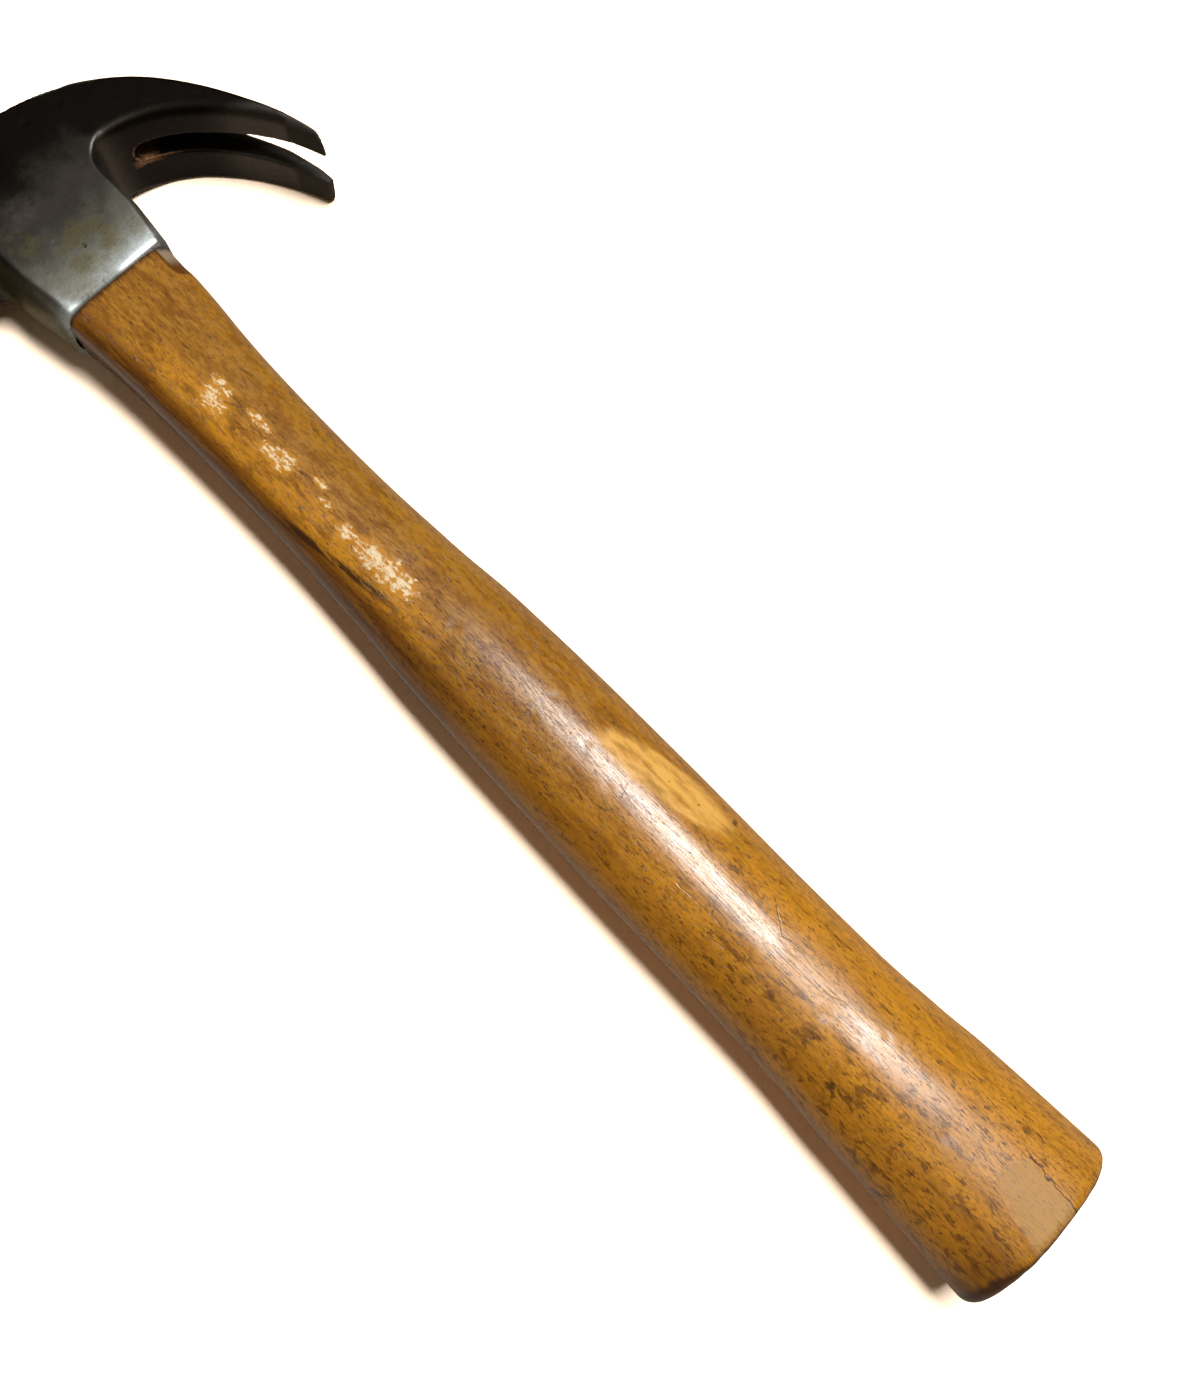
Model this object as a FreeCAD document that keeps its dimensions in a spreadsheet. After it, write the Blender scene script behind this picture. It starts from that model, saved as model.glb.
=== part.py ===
"""Carpenter hammer: a forged head with a curved claw on a hickory handle, locked by three wedges.

Frame, in millimetres: +X runs along the handle from the head to the butt, +Y points to the claw,
+Z points up from the cheek that the hammer lies on. The origin is the middle of the base of its box.

Each piece is drawn in one local frame, whose origin is on the eye's axis at the socket's mouth, half
way between the cheeks, and which is turned as the frame above is.
"""

import FreeCAD
import Part
import math
import os
import Sketcher

# Every size that can be set by itself. A height or a reach along X counts from the socket's mouth,
# and a reach along Y counts from the axis of the eye. A share is a part of the eye's height.
SIZES = {
    "eye_height": 49.5,
    "socket_width": 31.0,
    "socket_thickness": 22.2,
    "socket_rounding": 1.5,
    "mouth_rounding": 0.5,
    "face_reach": 69.0,
    "face_bevel": 1.6,
    "poll_radius": 14.0,
    "poll_land": 11.0,
    "poll_taper": 8.0,
    "poll_rounding": 0.6,
    "neck_inset": 0.6,
    "neck_blend": 5.5,
    "claw_flare": 2.9,
    "claw_tip_drop": 6.0,
    "claw_back_sweep": 52.0,
    "claw_back_share": 1.86,
    "claw_tip_thickness": 0.6,
    "claw_root_share": 0.416,
    "claw_root_flare": 1.3,
    "claw_root_rounding": 4.5,
    "claw_inside_sweep": 45.0,
    "claw_inside_share": 0.667,
    "claw_corner_length": 2.4,
    "claw_corner_radius": 14.0,
    "claw_edge_rounding": 0.5,
    "slot_root_gap": 9.2,
    "slot_root_width": 2.2,
    "slot_throat_length": 7.5,
    "slot_throat_width": 6.8,
    "slot_throat_radius": 15.0,
    "slot_tip_width": 9.4,
    "slot_bevel": 0.8,
    "eye_mouth_width": 25.4,
    "eye_mouth_thickness": 17.0,
    "eye_waist_height": 23.0,
    "eye_waist_width": 22.4,
    "eye_waist_thickness": 14.6,
    "eye_top_width": 24.2,
    "eye_top_thickness": 16.8,
    "eye_clearance": 0.08,
    "tenon_recess": 0.4,
    "shoulder_width": 29.0,
    "shoulder_thickness": 20.8,
    "throat_reach": 24.0,
    "throat_width": 27.0,
    "throat_thickness": 19.8,
    "waist_reach": 62.0,
    "waist_width": 25.7,
    "waist_thickness": 19.0,
    "swell_reach": 92.0,
    "swell_width": 27.9,
    "swell_thickness": 20.6,
    "grip_start_reach": 118.0,
    "grip_start_width": 31.3,
    "grip_start_thickness": 22.8,
    "grip_middle_reach": 165.0,
    "grip_middle_width": 33.0,
    "grip_middle_thickness": 24.0,
    "grip_end_reach": 215.0,
    "grip_end_width": 33.9,
    "grip_end_thickness": 24.8,
    "flare_reach": 248.0,
    "flare_width": 37.2,
    "flare_thickness": 26.4,
    "butt_reach": 280.5,
    "butt_width": 41.2,
    "butt_thickness": 28.0,
    "butt_rounding": 4.5,
    "oval_flat_ratio": 0.75,
    "wood_wedge_width": 21.0,
    "wood_wedge_depth": 33.0,
    "wood_wedge_top": 5.2,
    "wood_wedge_tip": 1.2,
    "kerf_spare": 4.0,
    "steel_wedge_width": 13.0,
    "steel_wedge_depth": 20.0,
    "steel_wedge_top": 2.6,
    "steel_wedge_tip": 0.5,
    "steel_wedge_reach": 6.2,
    "wedge_clearance": 0.05,
    "overrun": 6.0,
}

# Places that follow from the sizes, as formulas of the sheet.
PLACES = {
    "neck_radius": "socket_thickness / 2 - neck_inset",
    "claw_width": "socket_thickness + 2 * claw_flare",
    "claw_back_radius": "claw_back_share * eye_height",
    "claw_inside_radius": "claw_inside_share * eye_height",
    "claw_root_height": "eye_height - claw_root_share * eye_height",
    "claw_root_reach": "socket_width / 2 + claw_root_flare",
    "slot_root_reach": "claw_root_reach + slot_root_gap",
    "slot_throat_reach": "slot_root_reach + slot_throat_length",
    "back_join_x": "-eye_height * cos(claw_back_sweep)",
    "back_join_y": "eye_height * sin(claw_back_sweep)",
    "back_centre_x": "(claw_back_radius - eye_height) * cos(claw_back_sweep)",
    "back_centre_y": "-(claw_back_radius - eye_height) * sin(claw_back_sweep)",
    "claw_tip_y": "back_centre_y + sqrt(claw_back_radius ^ 2 - (claw_tip_drop - back_centre_x) ^ 2)",
    "inside_join_x": "-claw_root_height + claw_inside_radius * (1 - cos(claw_inside_sweep))",
    "inside_join_y": "claw_root_reach + claw_inside_radius * sin(claw_inside_sweep)",
    "inside_tip_y": "claw_tip_y - claw_tip_thickness",
    "tip_run_x": "claw_tip_drop - inside_join_x",
    "tip_run_y": "inside_tip_y - inside_join_y",
    "tip_run_rise": "tip_run_x * cos(claw_inside_sweep) - tip_run_y * sin(claw_inside_sweep)",
    "claw_tip_radius": "(tip_run_x ^ 2 + tip_run_y ^ 2) / (2 * tip_run_rise)",
    "claw_flare_length": "claw_tip_y - claw_root_reach",
    "claw_flare_radius": "(claw_flare_length ^ 2 + claw_flare ^ 2) / (2 * claw_flare)",
    "poll_height": "eye_height - neck_radius - neck_blend",
    "neck_blend_reach": "socket_width / 2 + neck_blend",
    "neck_reach": "face_reach - face_bevel - poll_land - poll_taper",
    "poll_flare": "poll_radius - neck_radius",
    "poll_flare_radius": "(poll_taper ^ 2 + poll_flare ^ 2) / (2 * poll_flare)",
    "tenon_height": "eye_height - tenon_recess",
    "mouth_x": "(eye_height - butt_reach) / 2",
    "axis_y": "(face_reach - claw_tip_y) / 2",
    "axis_z": "max(poll_radius; claw_width / 2; butt_thickness / 2)",
}

# The ovals between the handle's shoulder and its butt, and the turns, in degrees, of the ovals that
# round the butt's edge.
GRIP_SECTIONS = ("throat", "waist", "swell", "grip_start", "grip_middle", "grip_end", "flare")
BUTT_TURNS = (0, 30, 60, 90)

# How near, in millimetres, a point of an edge lies to the surface that the edge belongs to.
TOUCH = 0.001


class Sheet:
    """The spreadsheet, with one cell and one alias for each size and each place."""

    def __init__(self, document):
        self.cells = document.addObject("Spreadsheet::Sheet", "Sizes")
        self.rows = 0

    def put(self, alias, content):
        self.rows += 1
        cell = f"A{self.rows}"
        self.cells.set(cell, content)
        self.cells.setAlias(cell, alias)

    def value(self, alias):
        return float(self.cells.get(alias))

    def work_out(self, alias, formula):
        """Adds a cell for a formula and returns its value."""
        self.put(alias, "=" + formula)
        self.cells.recompute()
        return self.value(alias)


def new_body(document, sheet, label):
    """A body whose local frame stands at the socket's mouth."""
    body = document.addObject("PartDesign::Body", label)
    body.Label = label
    body.setExpression("Placement.Base.x", "Sizes.mouth_x")
    body.setExpression("Placement.Base.y", "Sizes.axis_y")
    body.setExpression("Placement.Base.z", "Sizes.axis_z")
    return body


def new_sketch(body, label, plane, lift=None):
    """An empty sketch on one of the body's planes, lifted along its normal by a formula."""
    sketch = body.newObject("Sketcher::SketchObject", label)
    support = next(item for item in body.Origin.OriginFeatures if item.Role == plane)
    sketch.AttachmentSupport = [(support, "")]
    sketch.MapMode = "FlatFace"
    if lift:
        sketch.setExpression("AttachmentOffset.Base.z", lift)
    return sketch


def edge_between(start, end, radius, turn):
    """A straight edge, or an arc of less than half a turn that curves to the given side."""
    if turn is None:
        return Part.LineSegment(start, end)
    chord = end - start
    normal = FreeCAD.Vector(-chord.y, chord.x, 0)
    normal.normalize()
    height = math.sqrt(radius**2 - (chord.Length / 2) ** 2)
    side = 1 if turn == "left" else -1
    centre = (start + end) * 0.5 + normal * (side * height)
    circle = Part.Circle(centre, FreeCAD.Vector(0, 0, 1), radius)
    first, last = (start, end) if turn == "left" else (end, start)
    angles = [math.atan2(point.y - centre.y, point.x - centre.x) for point in (first, last)]
    return Part.ArcOfCircle(circle, angles[0], angles[1])


def add_outline(sheet, sketch, name, corners, arcs=None):
    """Adds a closed outline. Its corners are pairs of formulas, and arcs gives the radius and the turn
    of each edge that is round, by the number of the corner that it starts from."""
    arcs = arcs or {}
    points = []
    for number, (across, up) in enumerate(corners):
        x = sheet.work_out(f"{name}_x_{number}_", across)
        y = sheet.work_out(f"{name}_y_{number}_", up)
        points.append(FreeCAD.Vector(x, y, 0))
    first = sketch.GeometryCount
    ends = []
    for number, start in enumerate(points):
        end = points[(number + 1) % len(points)]
        formula, turn = arcs.get(number, (None, None))
        radius = sheet.work_out(f"{name}_r_{number}_", formula) if turn else None
        index = sketch.addGeometry(edge_between(start, end, radius, turn), False)
        ends.append((2, 1) if turn == "right" else (1, 2))
        if turn:
            row = sketch.addConstraint(Sketcher.Constraint("Radius", index, radius))
            sketch.setExpression(f"Constraints[{row}]", f"Sizes.{name}_r_{number}_")
    for number, point in enumerate(points):
        index = first + number
        before = (number - 1) % len(points)
        sketch.addConstraint(
            Sketcher.Constraint("Coincident", first + before, ends[before][1], index, ends[number][0])
        )
        row = sketch.addConstraint(
            Sketcher.Constraint("DistanceX", -1, 1, index, ends[number][0], point.x)
        )
        sketch.setExpression(f"Constraints[{row}]", f"Sizes.{name}_x_{number}_")
        row = sketch.addConstraint(
            Sketcher.Constraint("DistanceY", -1, 1, index, ends[number][0], point.y)
        )
        sketch.setExpression(f"Constraints[{row}]", f"Sizes.{name}_y_{number}_")


def oval(body, sheet, label, section, reach, shrink="0"):
    """An oval of four tangent arcs, square to the handle, on a plane at the given reach."""
    width = f"({section}_width - 2 * {shrink})"
    thickness = f"({section}_thickness - 2 * {shrink})"
    sheet.work_out(f"{label}_flat", f"oval_flat_ratio * {width}")
    sheet.work_out(
        f"{label}_round",
        f"(({width} ^ 2 + {thickness} ^ 2) / 4 - {label}_flat * {thickness}) / ({width} - 2 * {label}_flat)",
    )
    join_y = f"({width} / 2 - {label}_round) * {label}_flat / ({label}_flat - {label}_round)"
    join_z = f"({label}_flat - {thickness} / 2) * {label}_round / ({label}_flat - {label}_round)"
    sketch = new_sketch(body, label, "YZ_Plane", reach)
    corners = [(join_y, join_z), (f"-{join_y}", join_z), (f"-{join_y}", f"-{join_z}"), (join_y, f"-{join_z}")]
    radii = [f"{label}_flat", f"{label}_round"] * 2
    add_outline(sheet, sketch, label, corners, {n: (radius, "left") for n, radius in enumerate(radii)})
    return sketch


def pad(body, label, sketch, length):
    """Grows a sketch to both sides by half the length."""
    feature = body.newObject("PartDesign::Pad", label)
    feature.Profile = sketch
    feature.SideType = "Symmetric"
    feature.setExpression("Length", length)
    return feature


def cut(body, label, sketch, length=None):
    """Cuts a sketch to both sides, through everything or by half the length."""
    feature = body.newObject("PartDesign::Pocket", label)
    feature.Profile = sketch
    feature.SideType = "Symmetric"
    if length:
        feature.setExpression("Length", length)
    else:
        feature.Type = "ThroughAll"
    return feature


def loft(body, kind, label, sketches):
    feature = body.newObject(f"PartDesign::{kind}Loft", label)
    feature.Profile = sketches[0]
    feature.Sections = sketches[1:]
    return feature


def dress_edges(document, body, kind, label, size, chosen):
    """Rounds or bevels each edge of the body so far whose two ends and middle all pass a test."""
    document.recompute()
    tip = body.Tip
    names = []
    for number, edge in enumerate(tip.Shape.Edges):
        first, last = edge.FirstParameter, edge.LastParameter
        if all(chosen(edge.valueAt(place)) for place in (first, (first + last) / 2, last)):
            names.append(f"Edge{number + 1}")
    feature = body.newObject(f"PartDesign::{kind}", label)
    feature.Base = (tip, names)
    feature.setExpression("Radius" if kind == "Fillet" else "Size", f"Sizes.{size}")
    return feature


def cut_to_crown(body, sheet, label):
    """Trims a piece in the eye a little below the head's crown, along the same round."""
    sketch = new_sketch(body, label + "_outline", "XY_Plane")
    edge = "eye_top_width / 2 + eye_clearance"
    top = "-eye_height - overrun"
    corners = [
        ("-tenon_height", f"-({edge})"),
        (top, f"-({edge})"),
        (top, edge),
        (f"-sqrt(tenon_height ^ 2 - ({edge}) ^ 2)", edge),
        ("-tenon_height", "0"),
    ]
    add_outline(sheet, sketch, label, corners, {3: ("tenon_height", "left")})
    return cut(body, label + "_cut", sketch)


def build_head(document, sheet):
    body = new_body(document, sheet, "hammer_head")
    side = new_sketch(body, "side_outline", "XY_Plane")
    corners = [
        ("0", "-socket_width / 2"),
        ("0", "socket_width / 2"),
        ("-claw_root_height", "claw_root_reach"),
        ("inside_join_x", "inside_join_y"),
        ("claw_tip_drop", "inside_tip_y"),
        ("claw_tip_drop", "claw_tip_y"),
        ("back_join_x", "back_join_y"),
        ("-eye_height", "0"),
        ("-eye_height", "-socket_width / 2"),
    ]
    arcs = {
        2: ("claw_inside_radius", "right"),
        3: ("claw_tip_radius", "right"),
        5: ("claw_back_radius", "left"),
        6: ("eye_height", "left"),
    }
    add_outline(sheet, side, "side", corners, arcs)
    pad(body, "eye_and_claw", side, "Sizes.claw_width")

    root_x = -sheet.value("claw_root_height")
    root_y = sheet.value("claw_root_reach")

    def at_root(point):
        return math.hypot(point.x - root_x, point.y - root_y) < TOUCH

    dress_edges(document, body, "Fillet", "claw_root", "claw_root_rounding", at_root)

    neck = new_sketch(body, "neck_outline", "XY_Plane")
    axis_x = sheet.work_out("poll_axis_x", "-poll_height")
    corners = [
        ("poll_axis_x", "-eye_mouth_width / 2"),
        ("poll_axis_x + neck_radius + neck_blend", "-eye_mouth_width / 2"),
        ("poll_axis_x + neck_radius + neck_blend", "-socket_width / 2"),
        ("poll_axis_x + neck_radius", "-neck_blend_reach"),
        ("poll_axis_x + neck_radius", "-neck_reach"),
        ("poll_axis_x + poll_radius", "-neck_reach - poll_taper"),
        ("poll_axis_x + poll_radius", "-face_reach + face_bevel"),
        ("poll_axis_x + poll_radius - face_bevel", "-face_reach"),
        ("poll_axis_x", "-face_reach"),
    ]
    arcs = {2: ("neck_blend", "left"), 4: ("poll_flare_radius", "left")}
    add_outline(sheet, neck, "neck", corners, arcs)
    axis = neck.addGeometry(
        Part.LineSegment(FreeCAD.Vector(axis_x, 0, 0), FreeCAD.Vector(axis_x, axis_x, 0)), True
    )
    neck.addConstraint(Sketcher.Constraint("Vertical", axis))
    row = neck.addConstraint(Sketcher.Constraint("DistanceX", -1, 1, axis, 1, axis_x))
    neck.setExpression(f"Constraints[{row}]", "Sizes.poll_axis_x")
    turned = body.newObject("PartDesign::Revolution", "neck_and_poll")
    turned.Profile = neck
    turned.ReferenceAxis = (neck, ["Axis0"])

    cheeks = new_sketch(body, "cheek_outline", "YZ_Plane")
    for name, sign, turn in (("upper", "1", "left"), ("lower", "-1", "right")):
        corners = [
            ("-neck_blend_reach", f"{sign} * socket_thickness / 2"),
            ("claw_root_reach", f"{sign} * socket_thickness / 2"),
            ("claw_tip_y", f"{sign} * claw_width / 2"),
            ("claw_tip_y", f"{sign} * (claw_width / 2 + overrun)"),
            ("-neck_blend_reach", f"{sign} * (claw_width / 2 + overrun)"),
        ]
        add_outline(sheet, cheeks, f"cheek_{name}", corners, {1: ("claw_flare_radius", turn)})
    cut(body, "cheeks", cheeks)

    slot = new_sketch(body, "slot_outline", "YZ_Plane")
    corners = [
        ("slot_root_reach", "slot_root_width / 2"),
        ("slot_root_reach", "-slot_root_width / 2"),
        ("slot_throat_reach", "-slot_throat_width / 2"),
        ("claw_tip_y", "-slot_tip_width / 2"),
        ("claw_tip_y + overrun", "-slot_tip_width / 2"),
        ("claw_tip_y + overrun", "slot_tip_width / 2"),
        ("claw_tip_y", "slot_tip_width / 2"),
        ("slot_throat_reach", "slot_throat_width / 2"),
    ]
    arcs = {1: ("slot_throat_radius", "left"), 7: ("slot_throat_radius", "left")}
    add_outline(sheet, slot, "slot", corners, arcs)
    cut(body, "nail_slot", slot)

    tips = new_sketch(body, "tip_outline", "XZ_Plane")
    for name, sign, turn in (("upper", "1", "left"), ("lower", "-1", "right")):
        corners = [
            ("claw_tip_drop", f"{sign} * slot_tip_width / 2"),
            ("claw_tip_drop - claw_corner_length", f"{sign} * (claw_width / 2 + claw_edge_rounding)"),
            ("claw_tip_drop - claw_corner_length", f"{sign} * (claw_width / 2 + overrun)"),
            ("claw_tip_drop + overrun", f"{sign} * (claw_width / 2 + overrun)"),
            ("claw_tip_drop + overrun", f"{sign} * slot_tip_width / 2"),
        ]
        add_outline(sheet, tips, f"tip_{name}", corners, {0: ("claw_corner_radius", turn)})
    cut(body, "claw_corners", tips)

    ovals = [
        oval(body, sheet, "eye_mouth_oval", "eye_mouth", None),
        oval(body, sheet, "eye_waist_oval", "eye_waist", "-Sizes.eye_waist_height"),
        oval(body, sheet, "eye_top_oval", "eye_top", "-Sizes.eye_height"),
    ]
    loft(body, "Subtractive", "eye", ovals)
    dress_head(document, sheet, body)
    return body


def dress_head(document, sheet, body):
    """Rounds the socket, the poll and the claw's inside edges, and bevels the back of the nail slot."""
    cheek_z = sheet.value("socket_thickness") / 2
    wall_y = sheet.value("socket_width") / 2
    rounding = sheet.value("socket_rounding")
    eye_height = sheet.value("eye_height")
    back_x = sheet.value("back_centre_x")
    back_y = sheet.value("back_centre_y")
    back_radius = sheet.value("claw_back_radius")
    slot_root = sheet.value("slot_root_reach")
    slot_half = sheet.value("slot_tip_width") / 2
    rim_y = -sheet.value("face_reach") + sheet.value("face_bevel")
    land_y = rim_y + sheet.value("poll_land")
    root_x = -sheet.value("claw_root_height")
    tip_x = sheet.value("claw_tip_drop") - sheet.value("claw_corner_length")

    def on_back(point):
        crown = abs(math.hypot(point.x, point.y) - eye_height)
        sweep = abs(math.hypot(point.x - back_x, point.y - back_y) - back_radius)
        return min(crown, sweep) < TOUCH

    def on_socket_corner(point):
        return abs(abs(point.z) - cheek_z) < TOUCH and point.y < TOUCH - wall_y

    def on_slot_back(point):
        return on_back(point) and point.y > slot_root - TOUCH and abs(point.z) < slot_half + TOUCH

    def on_poll_edge(point):
        return min(abs(point.y - rim_y), abs(point.y - land_y)) < TOUCH

    def on_claw_inside(point):
        above_tip = root_x - TOUCH < point.x < tip_x + TOUCH
        return above_tip and point.y > 0 and abs(point.z) > cheek_z - TOUCH and not on_back(point)

    def on_mouth(point):
        outside = abs(point.y) > wall_y - rounding - TOUCH or abs(point.z) > cheek_z - rounding - TOUCH
        return abs(point.x) < TOUCH and outside

    dress_edges(document, body, "Fillet", "socket_corners", "socket_rounding", on_socket_corner)
    dress_edges(document, body, "Chamfer", "slot_back", "slot_bevel", on_slot_back)
    dress_edges(document, body, "Fillet", "poll_edges", "poll_rounding", on_poll_edge)
    dress_edges(document, body, "Fillet", "claw_inside", "claw_edge_rounding", on_claw_inside)
    dress_edges(document, body, "Fillet", "mouth", "mouth_rounding", on_mouth)


def build_handle(document, sheet):
    body = new_body(document, sheet, "handle")
    ovals = [oval(body, sheet, "shoulder_oval", "shoulder", None)]
    for section in GRIP_SECTIONS:
        ovals.append(oval(body, sheet, f"{section}_oval", section, f"Sizes.{section}_reach"))
    ovals.append(oval(body, sheet, "butt_oval", "butt", "Sizes.butt_reach - Sizes.butt_rounding"))
    loft(body, "Additive", "grip", ovals)

    ovals = []
    for turn in BUTT_TURNS:
        reach = f"Sizes.butt_reach - Sizes.butt_rounding * (1 - sin({turn}))"
        shrink = f"butt_rounding * (1 - cos({turn}))"
        ovals.append(oval(body, sheet, f"butt_{turn}_oval", "butt", reach, shrink))
    loft(body, "Additive", "butt_end", ovals)

    ovals = [
        oval(body, sheet, "tenon_mouth_oval", "eye_mouth", None, "eye_clearance"),
        oval(body, sheet, "tenon_waist_oval", "eye_waist", "-Sizes.eye_waist_height", "eye_clearance"),
        oval(body, sheet, "tenon_top_oval", "eye_top", "-Sizes.eye_height", "eye_clearance"),
    ]
    loft(body, "Additive", "tenon", ovals)
    cut_to_crown(body, sheet, "tenon_top")

    kerf = new_sketch(body, "kerf_outline", "XZ_Plane")
    top = "-eye_height - overrun"
    wedge_end = "wood_wedge_depth - tenon_height"
    corners = [
        (top, "wood_wedge_top / 2 + wedge_clearance"),
        (top, "-wood_wedge_top / 2 - wedge_clearance"),
        ("-tenon_height", "-wood_wedge_top / 2 - wedge_clearance"),
        (wedge_end, "-wood_wedge_tip / 2 - wedge_clearance"),
        (f"{wedge_end} + kerf_spare", "-wood_wedge_tip / 2 - wedge_clearance"),
        (f"{wedge_end} + kerf_spare", "wood_wedge_tip / 2 + wedge_clearance"),
        (wedge_end, "wood_wedge_tip / 2 + wedge_clearance"),
        ("-tenon_height", "wood_wedge_top / 2 + wedge_clearance"),
    ]
    add_outline(sheet, kerf, "kerf", corners)
    cut(body, "kerf_cut", kerf)
    cut_for_steel_wedges(body, sheet, "tenon")
    return body


def steel_wedge_corners(sign, spare):
    """Outline of a steel wedge as seen from above, grown by the spare on each flank."""
    centre = f"{sign} * steel_wedge_reach"
    top = "-tenon_height"
    tip = "steel_wedge_depth - tenon_height"
    return [
        (top, f"{centre} + steel_wedge_top / 2 + {spare}"),
        (top, f"{centre} - steel_wedge_top / 2 - {spare}"),
        (tip, f"{centre} - steel_wedge_tip / 2 - {spare}"),
        (tip, f"{centre} + steel_wedge_tip / 2 + {spare}"),
    ]


def cut_for_steel_wedges(body, sheet, owner):
    sketch = new_sketch(body, f"{owner}_slits", "XY_Plane")
    for name, sign in (("face", "-1"), ("claw", "1")):
        corners = steel_wedge_corners(sign, "wedge_clearance")
        corners[2] = (f"{corners[2][0]} + wedge_clearance", corners[2][1])
        corners[3] = (f"{corners[3][0]} + wedge_clearance", corners[3][1])
        add_outline(sheet, sketch, f"{owner}_{name}_slit", corners)
    cut(body, f"{owner}_slit_cut", sketch, "Sizes.steel_wedge_width + 2 * Sizes.wedge_clearance")


def build_wooden_wedge(document, sheet):
    body = new_body(document, sheet, "wooden_wedge")
    profile = new_sketch(body, "wedge_outline", "XZ_Plane")
    corners = [
        ("-tenon_height", "wood_wedge_top / 2"),
        ("-tenon_height", "-wood_wedge_top / 2"),
        ("wood_wedge_depth - tenon_height", "-wood_wedge_tip / 2"),
        ("wood_wedge_depth - tenon_height", "wood_wedge_tip / 2"),
    ]
    add_outline(sheet, profile, "wedge", corners)
    pad(body, "wedge", profile, "Sizes.wood_wedge_width")
    cut_to_crown(body, sheet, "wedge_top")
    cut_for_steel_wedges(body, sheet, "wedge")
    return body


def build_steel_wedge(document, sheet, label, sign):
    body = new_body(document, sheet, label)
    profile = new_sketch(body, f"{label}_outline", "XY_Plane")
    add_outline(sheet, profile, label, steel_wedge_corners(sign, "0"))
    pad(body, f"{label}_body", profile, "Sizes.steel_wedge_width")
    cut_to_crown(body, sheet, f"{label}_top")
    return body


def check(document, bodies):
    """Stops if any object failed or any piece isn't one sound solid."""
    for item in document.Objects:
        if {"Invalid", "Error"} & set(item.State):
            raise RuntimeError(f"{item.Label} failed: {item.State}")
    for body in bodies:
        shape = body.Shape
        if shape.isNull() or not shape.isValid() or len(shape.Solids) != 1:
            raise RuntimeError(f"{body.Label} is not one sound solid")


def main():
    document = FreeCAD.newDocument("hammer")
    sheet = Sheet(document)
    for alias, size in SIZES.items():
        sheet.put(alias, str(size))
    for alias, formula in PLACES.items():
        sheet.put(alias, "=" + formula)
    sheet.cells.recompute()
    bodies = [
        build_head(document, sheet),
        build_handle(document, sheet),
        build_wooden_wedge(document, sheet),
        build_steel_wedge(document, sheet, "steel_wedge_face_side", "-1"),
        build_steel_wedge(document, sheet, "steel_wedge_claw_side", "1"),
    ]
    document.recompute()
    check(document, bodies)
    os.makedirs("parts", exist_ok=True)
    for body in bodies:
        body.Shape.exportStep(f"parts/{body.Label}.step")
        box = body.Shape.optimalBoundingBox(False, False)
        print(
            f"{body.Label}: {body.Shape.Volume:.0f} mm3, x {box.XMin:.2f} {box.XMax:.2f},"
            f" y {box.YMin:.2f} {box.YMax:.2f}, z {box.ZMin:.2f} {box.ZMax:.2f}"
        )


main()
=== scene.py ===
"""Carpenter's claw hammer: a worn forged head on a varnished hickory handle, lying on one cheek.

The file is laid out as an add-on. Run as a script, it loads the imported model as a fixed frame, makes
each piece around it, and sets the stage. Places on the hammer are given as reach along the handle from
the socket's mouth (towards the butt), side from the eye's axis (towards the claw) and height over the
plane half way between the cheeks, all in metres.
"""

import math
import random

import bmesh
import bpy
import numpy as np
from bpy.props import FloatProperty, FloatVectorProperty, IntProperty, PointerProperty
from mathutils import Matrix, Vector, noise


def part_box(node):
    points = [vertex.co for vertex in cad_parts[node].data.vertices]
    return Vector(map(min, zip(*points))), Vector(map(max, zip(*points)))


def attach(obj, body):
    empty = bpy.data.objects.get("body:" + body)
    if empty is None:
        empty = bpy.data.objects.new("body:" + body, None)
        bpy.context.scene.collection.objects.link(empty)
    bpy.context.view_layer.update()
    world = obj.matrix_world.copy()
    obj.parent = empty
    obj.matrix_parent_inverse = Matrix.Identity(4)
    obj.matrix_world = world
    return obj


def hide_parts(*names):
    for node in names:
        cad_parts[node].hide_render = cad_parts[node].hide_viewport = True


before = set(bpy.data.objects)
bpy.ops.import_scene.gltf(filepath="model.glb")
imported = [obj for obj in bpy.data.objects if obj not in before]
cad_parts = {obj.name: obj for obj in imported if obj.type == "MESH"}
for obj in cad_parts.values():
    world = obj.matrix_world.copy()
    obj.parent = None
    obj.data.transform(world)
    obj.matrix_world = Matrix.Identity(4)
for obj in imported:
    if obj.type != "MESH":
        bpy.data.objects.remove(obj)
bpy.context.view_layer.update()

bl_info = {
    "name": "Claw hammer",
    "version": (1, 0, 0),
    "blender": (4, 5, 0),
    "location": "View3D > Sidebar > Hammer",
    "description": "Makes a worn claw hammer around its packed parts",
    "category": "Add Mesh",
}

MM = 0.001
HEAD_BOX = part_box("hammer_head")
HANDLE_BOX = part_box("handle")

# Distances from the head's box to the origin of reach, side and height.
TIP_DROP = 6 * MM
FACE_REACH = 69 * MM
MOUTH = Vector((
    HEAD_BOX[1].x - TIP_DROP,
    HEAD_BOX[0].y + FACE_REACH,
    (HEAD_BOX[0].z + HEAD_BOX[1].z) / 2,
))


def distance(name, description, size):
    return FloatProperty(name=name, description=description, default=size, unit="LENGTH")


def paint(name, description, value):
    return FloatVectorProperty(name=name, description=description, default=value, subtype="COLOR")


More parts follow.
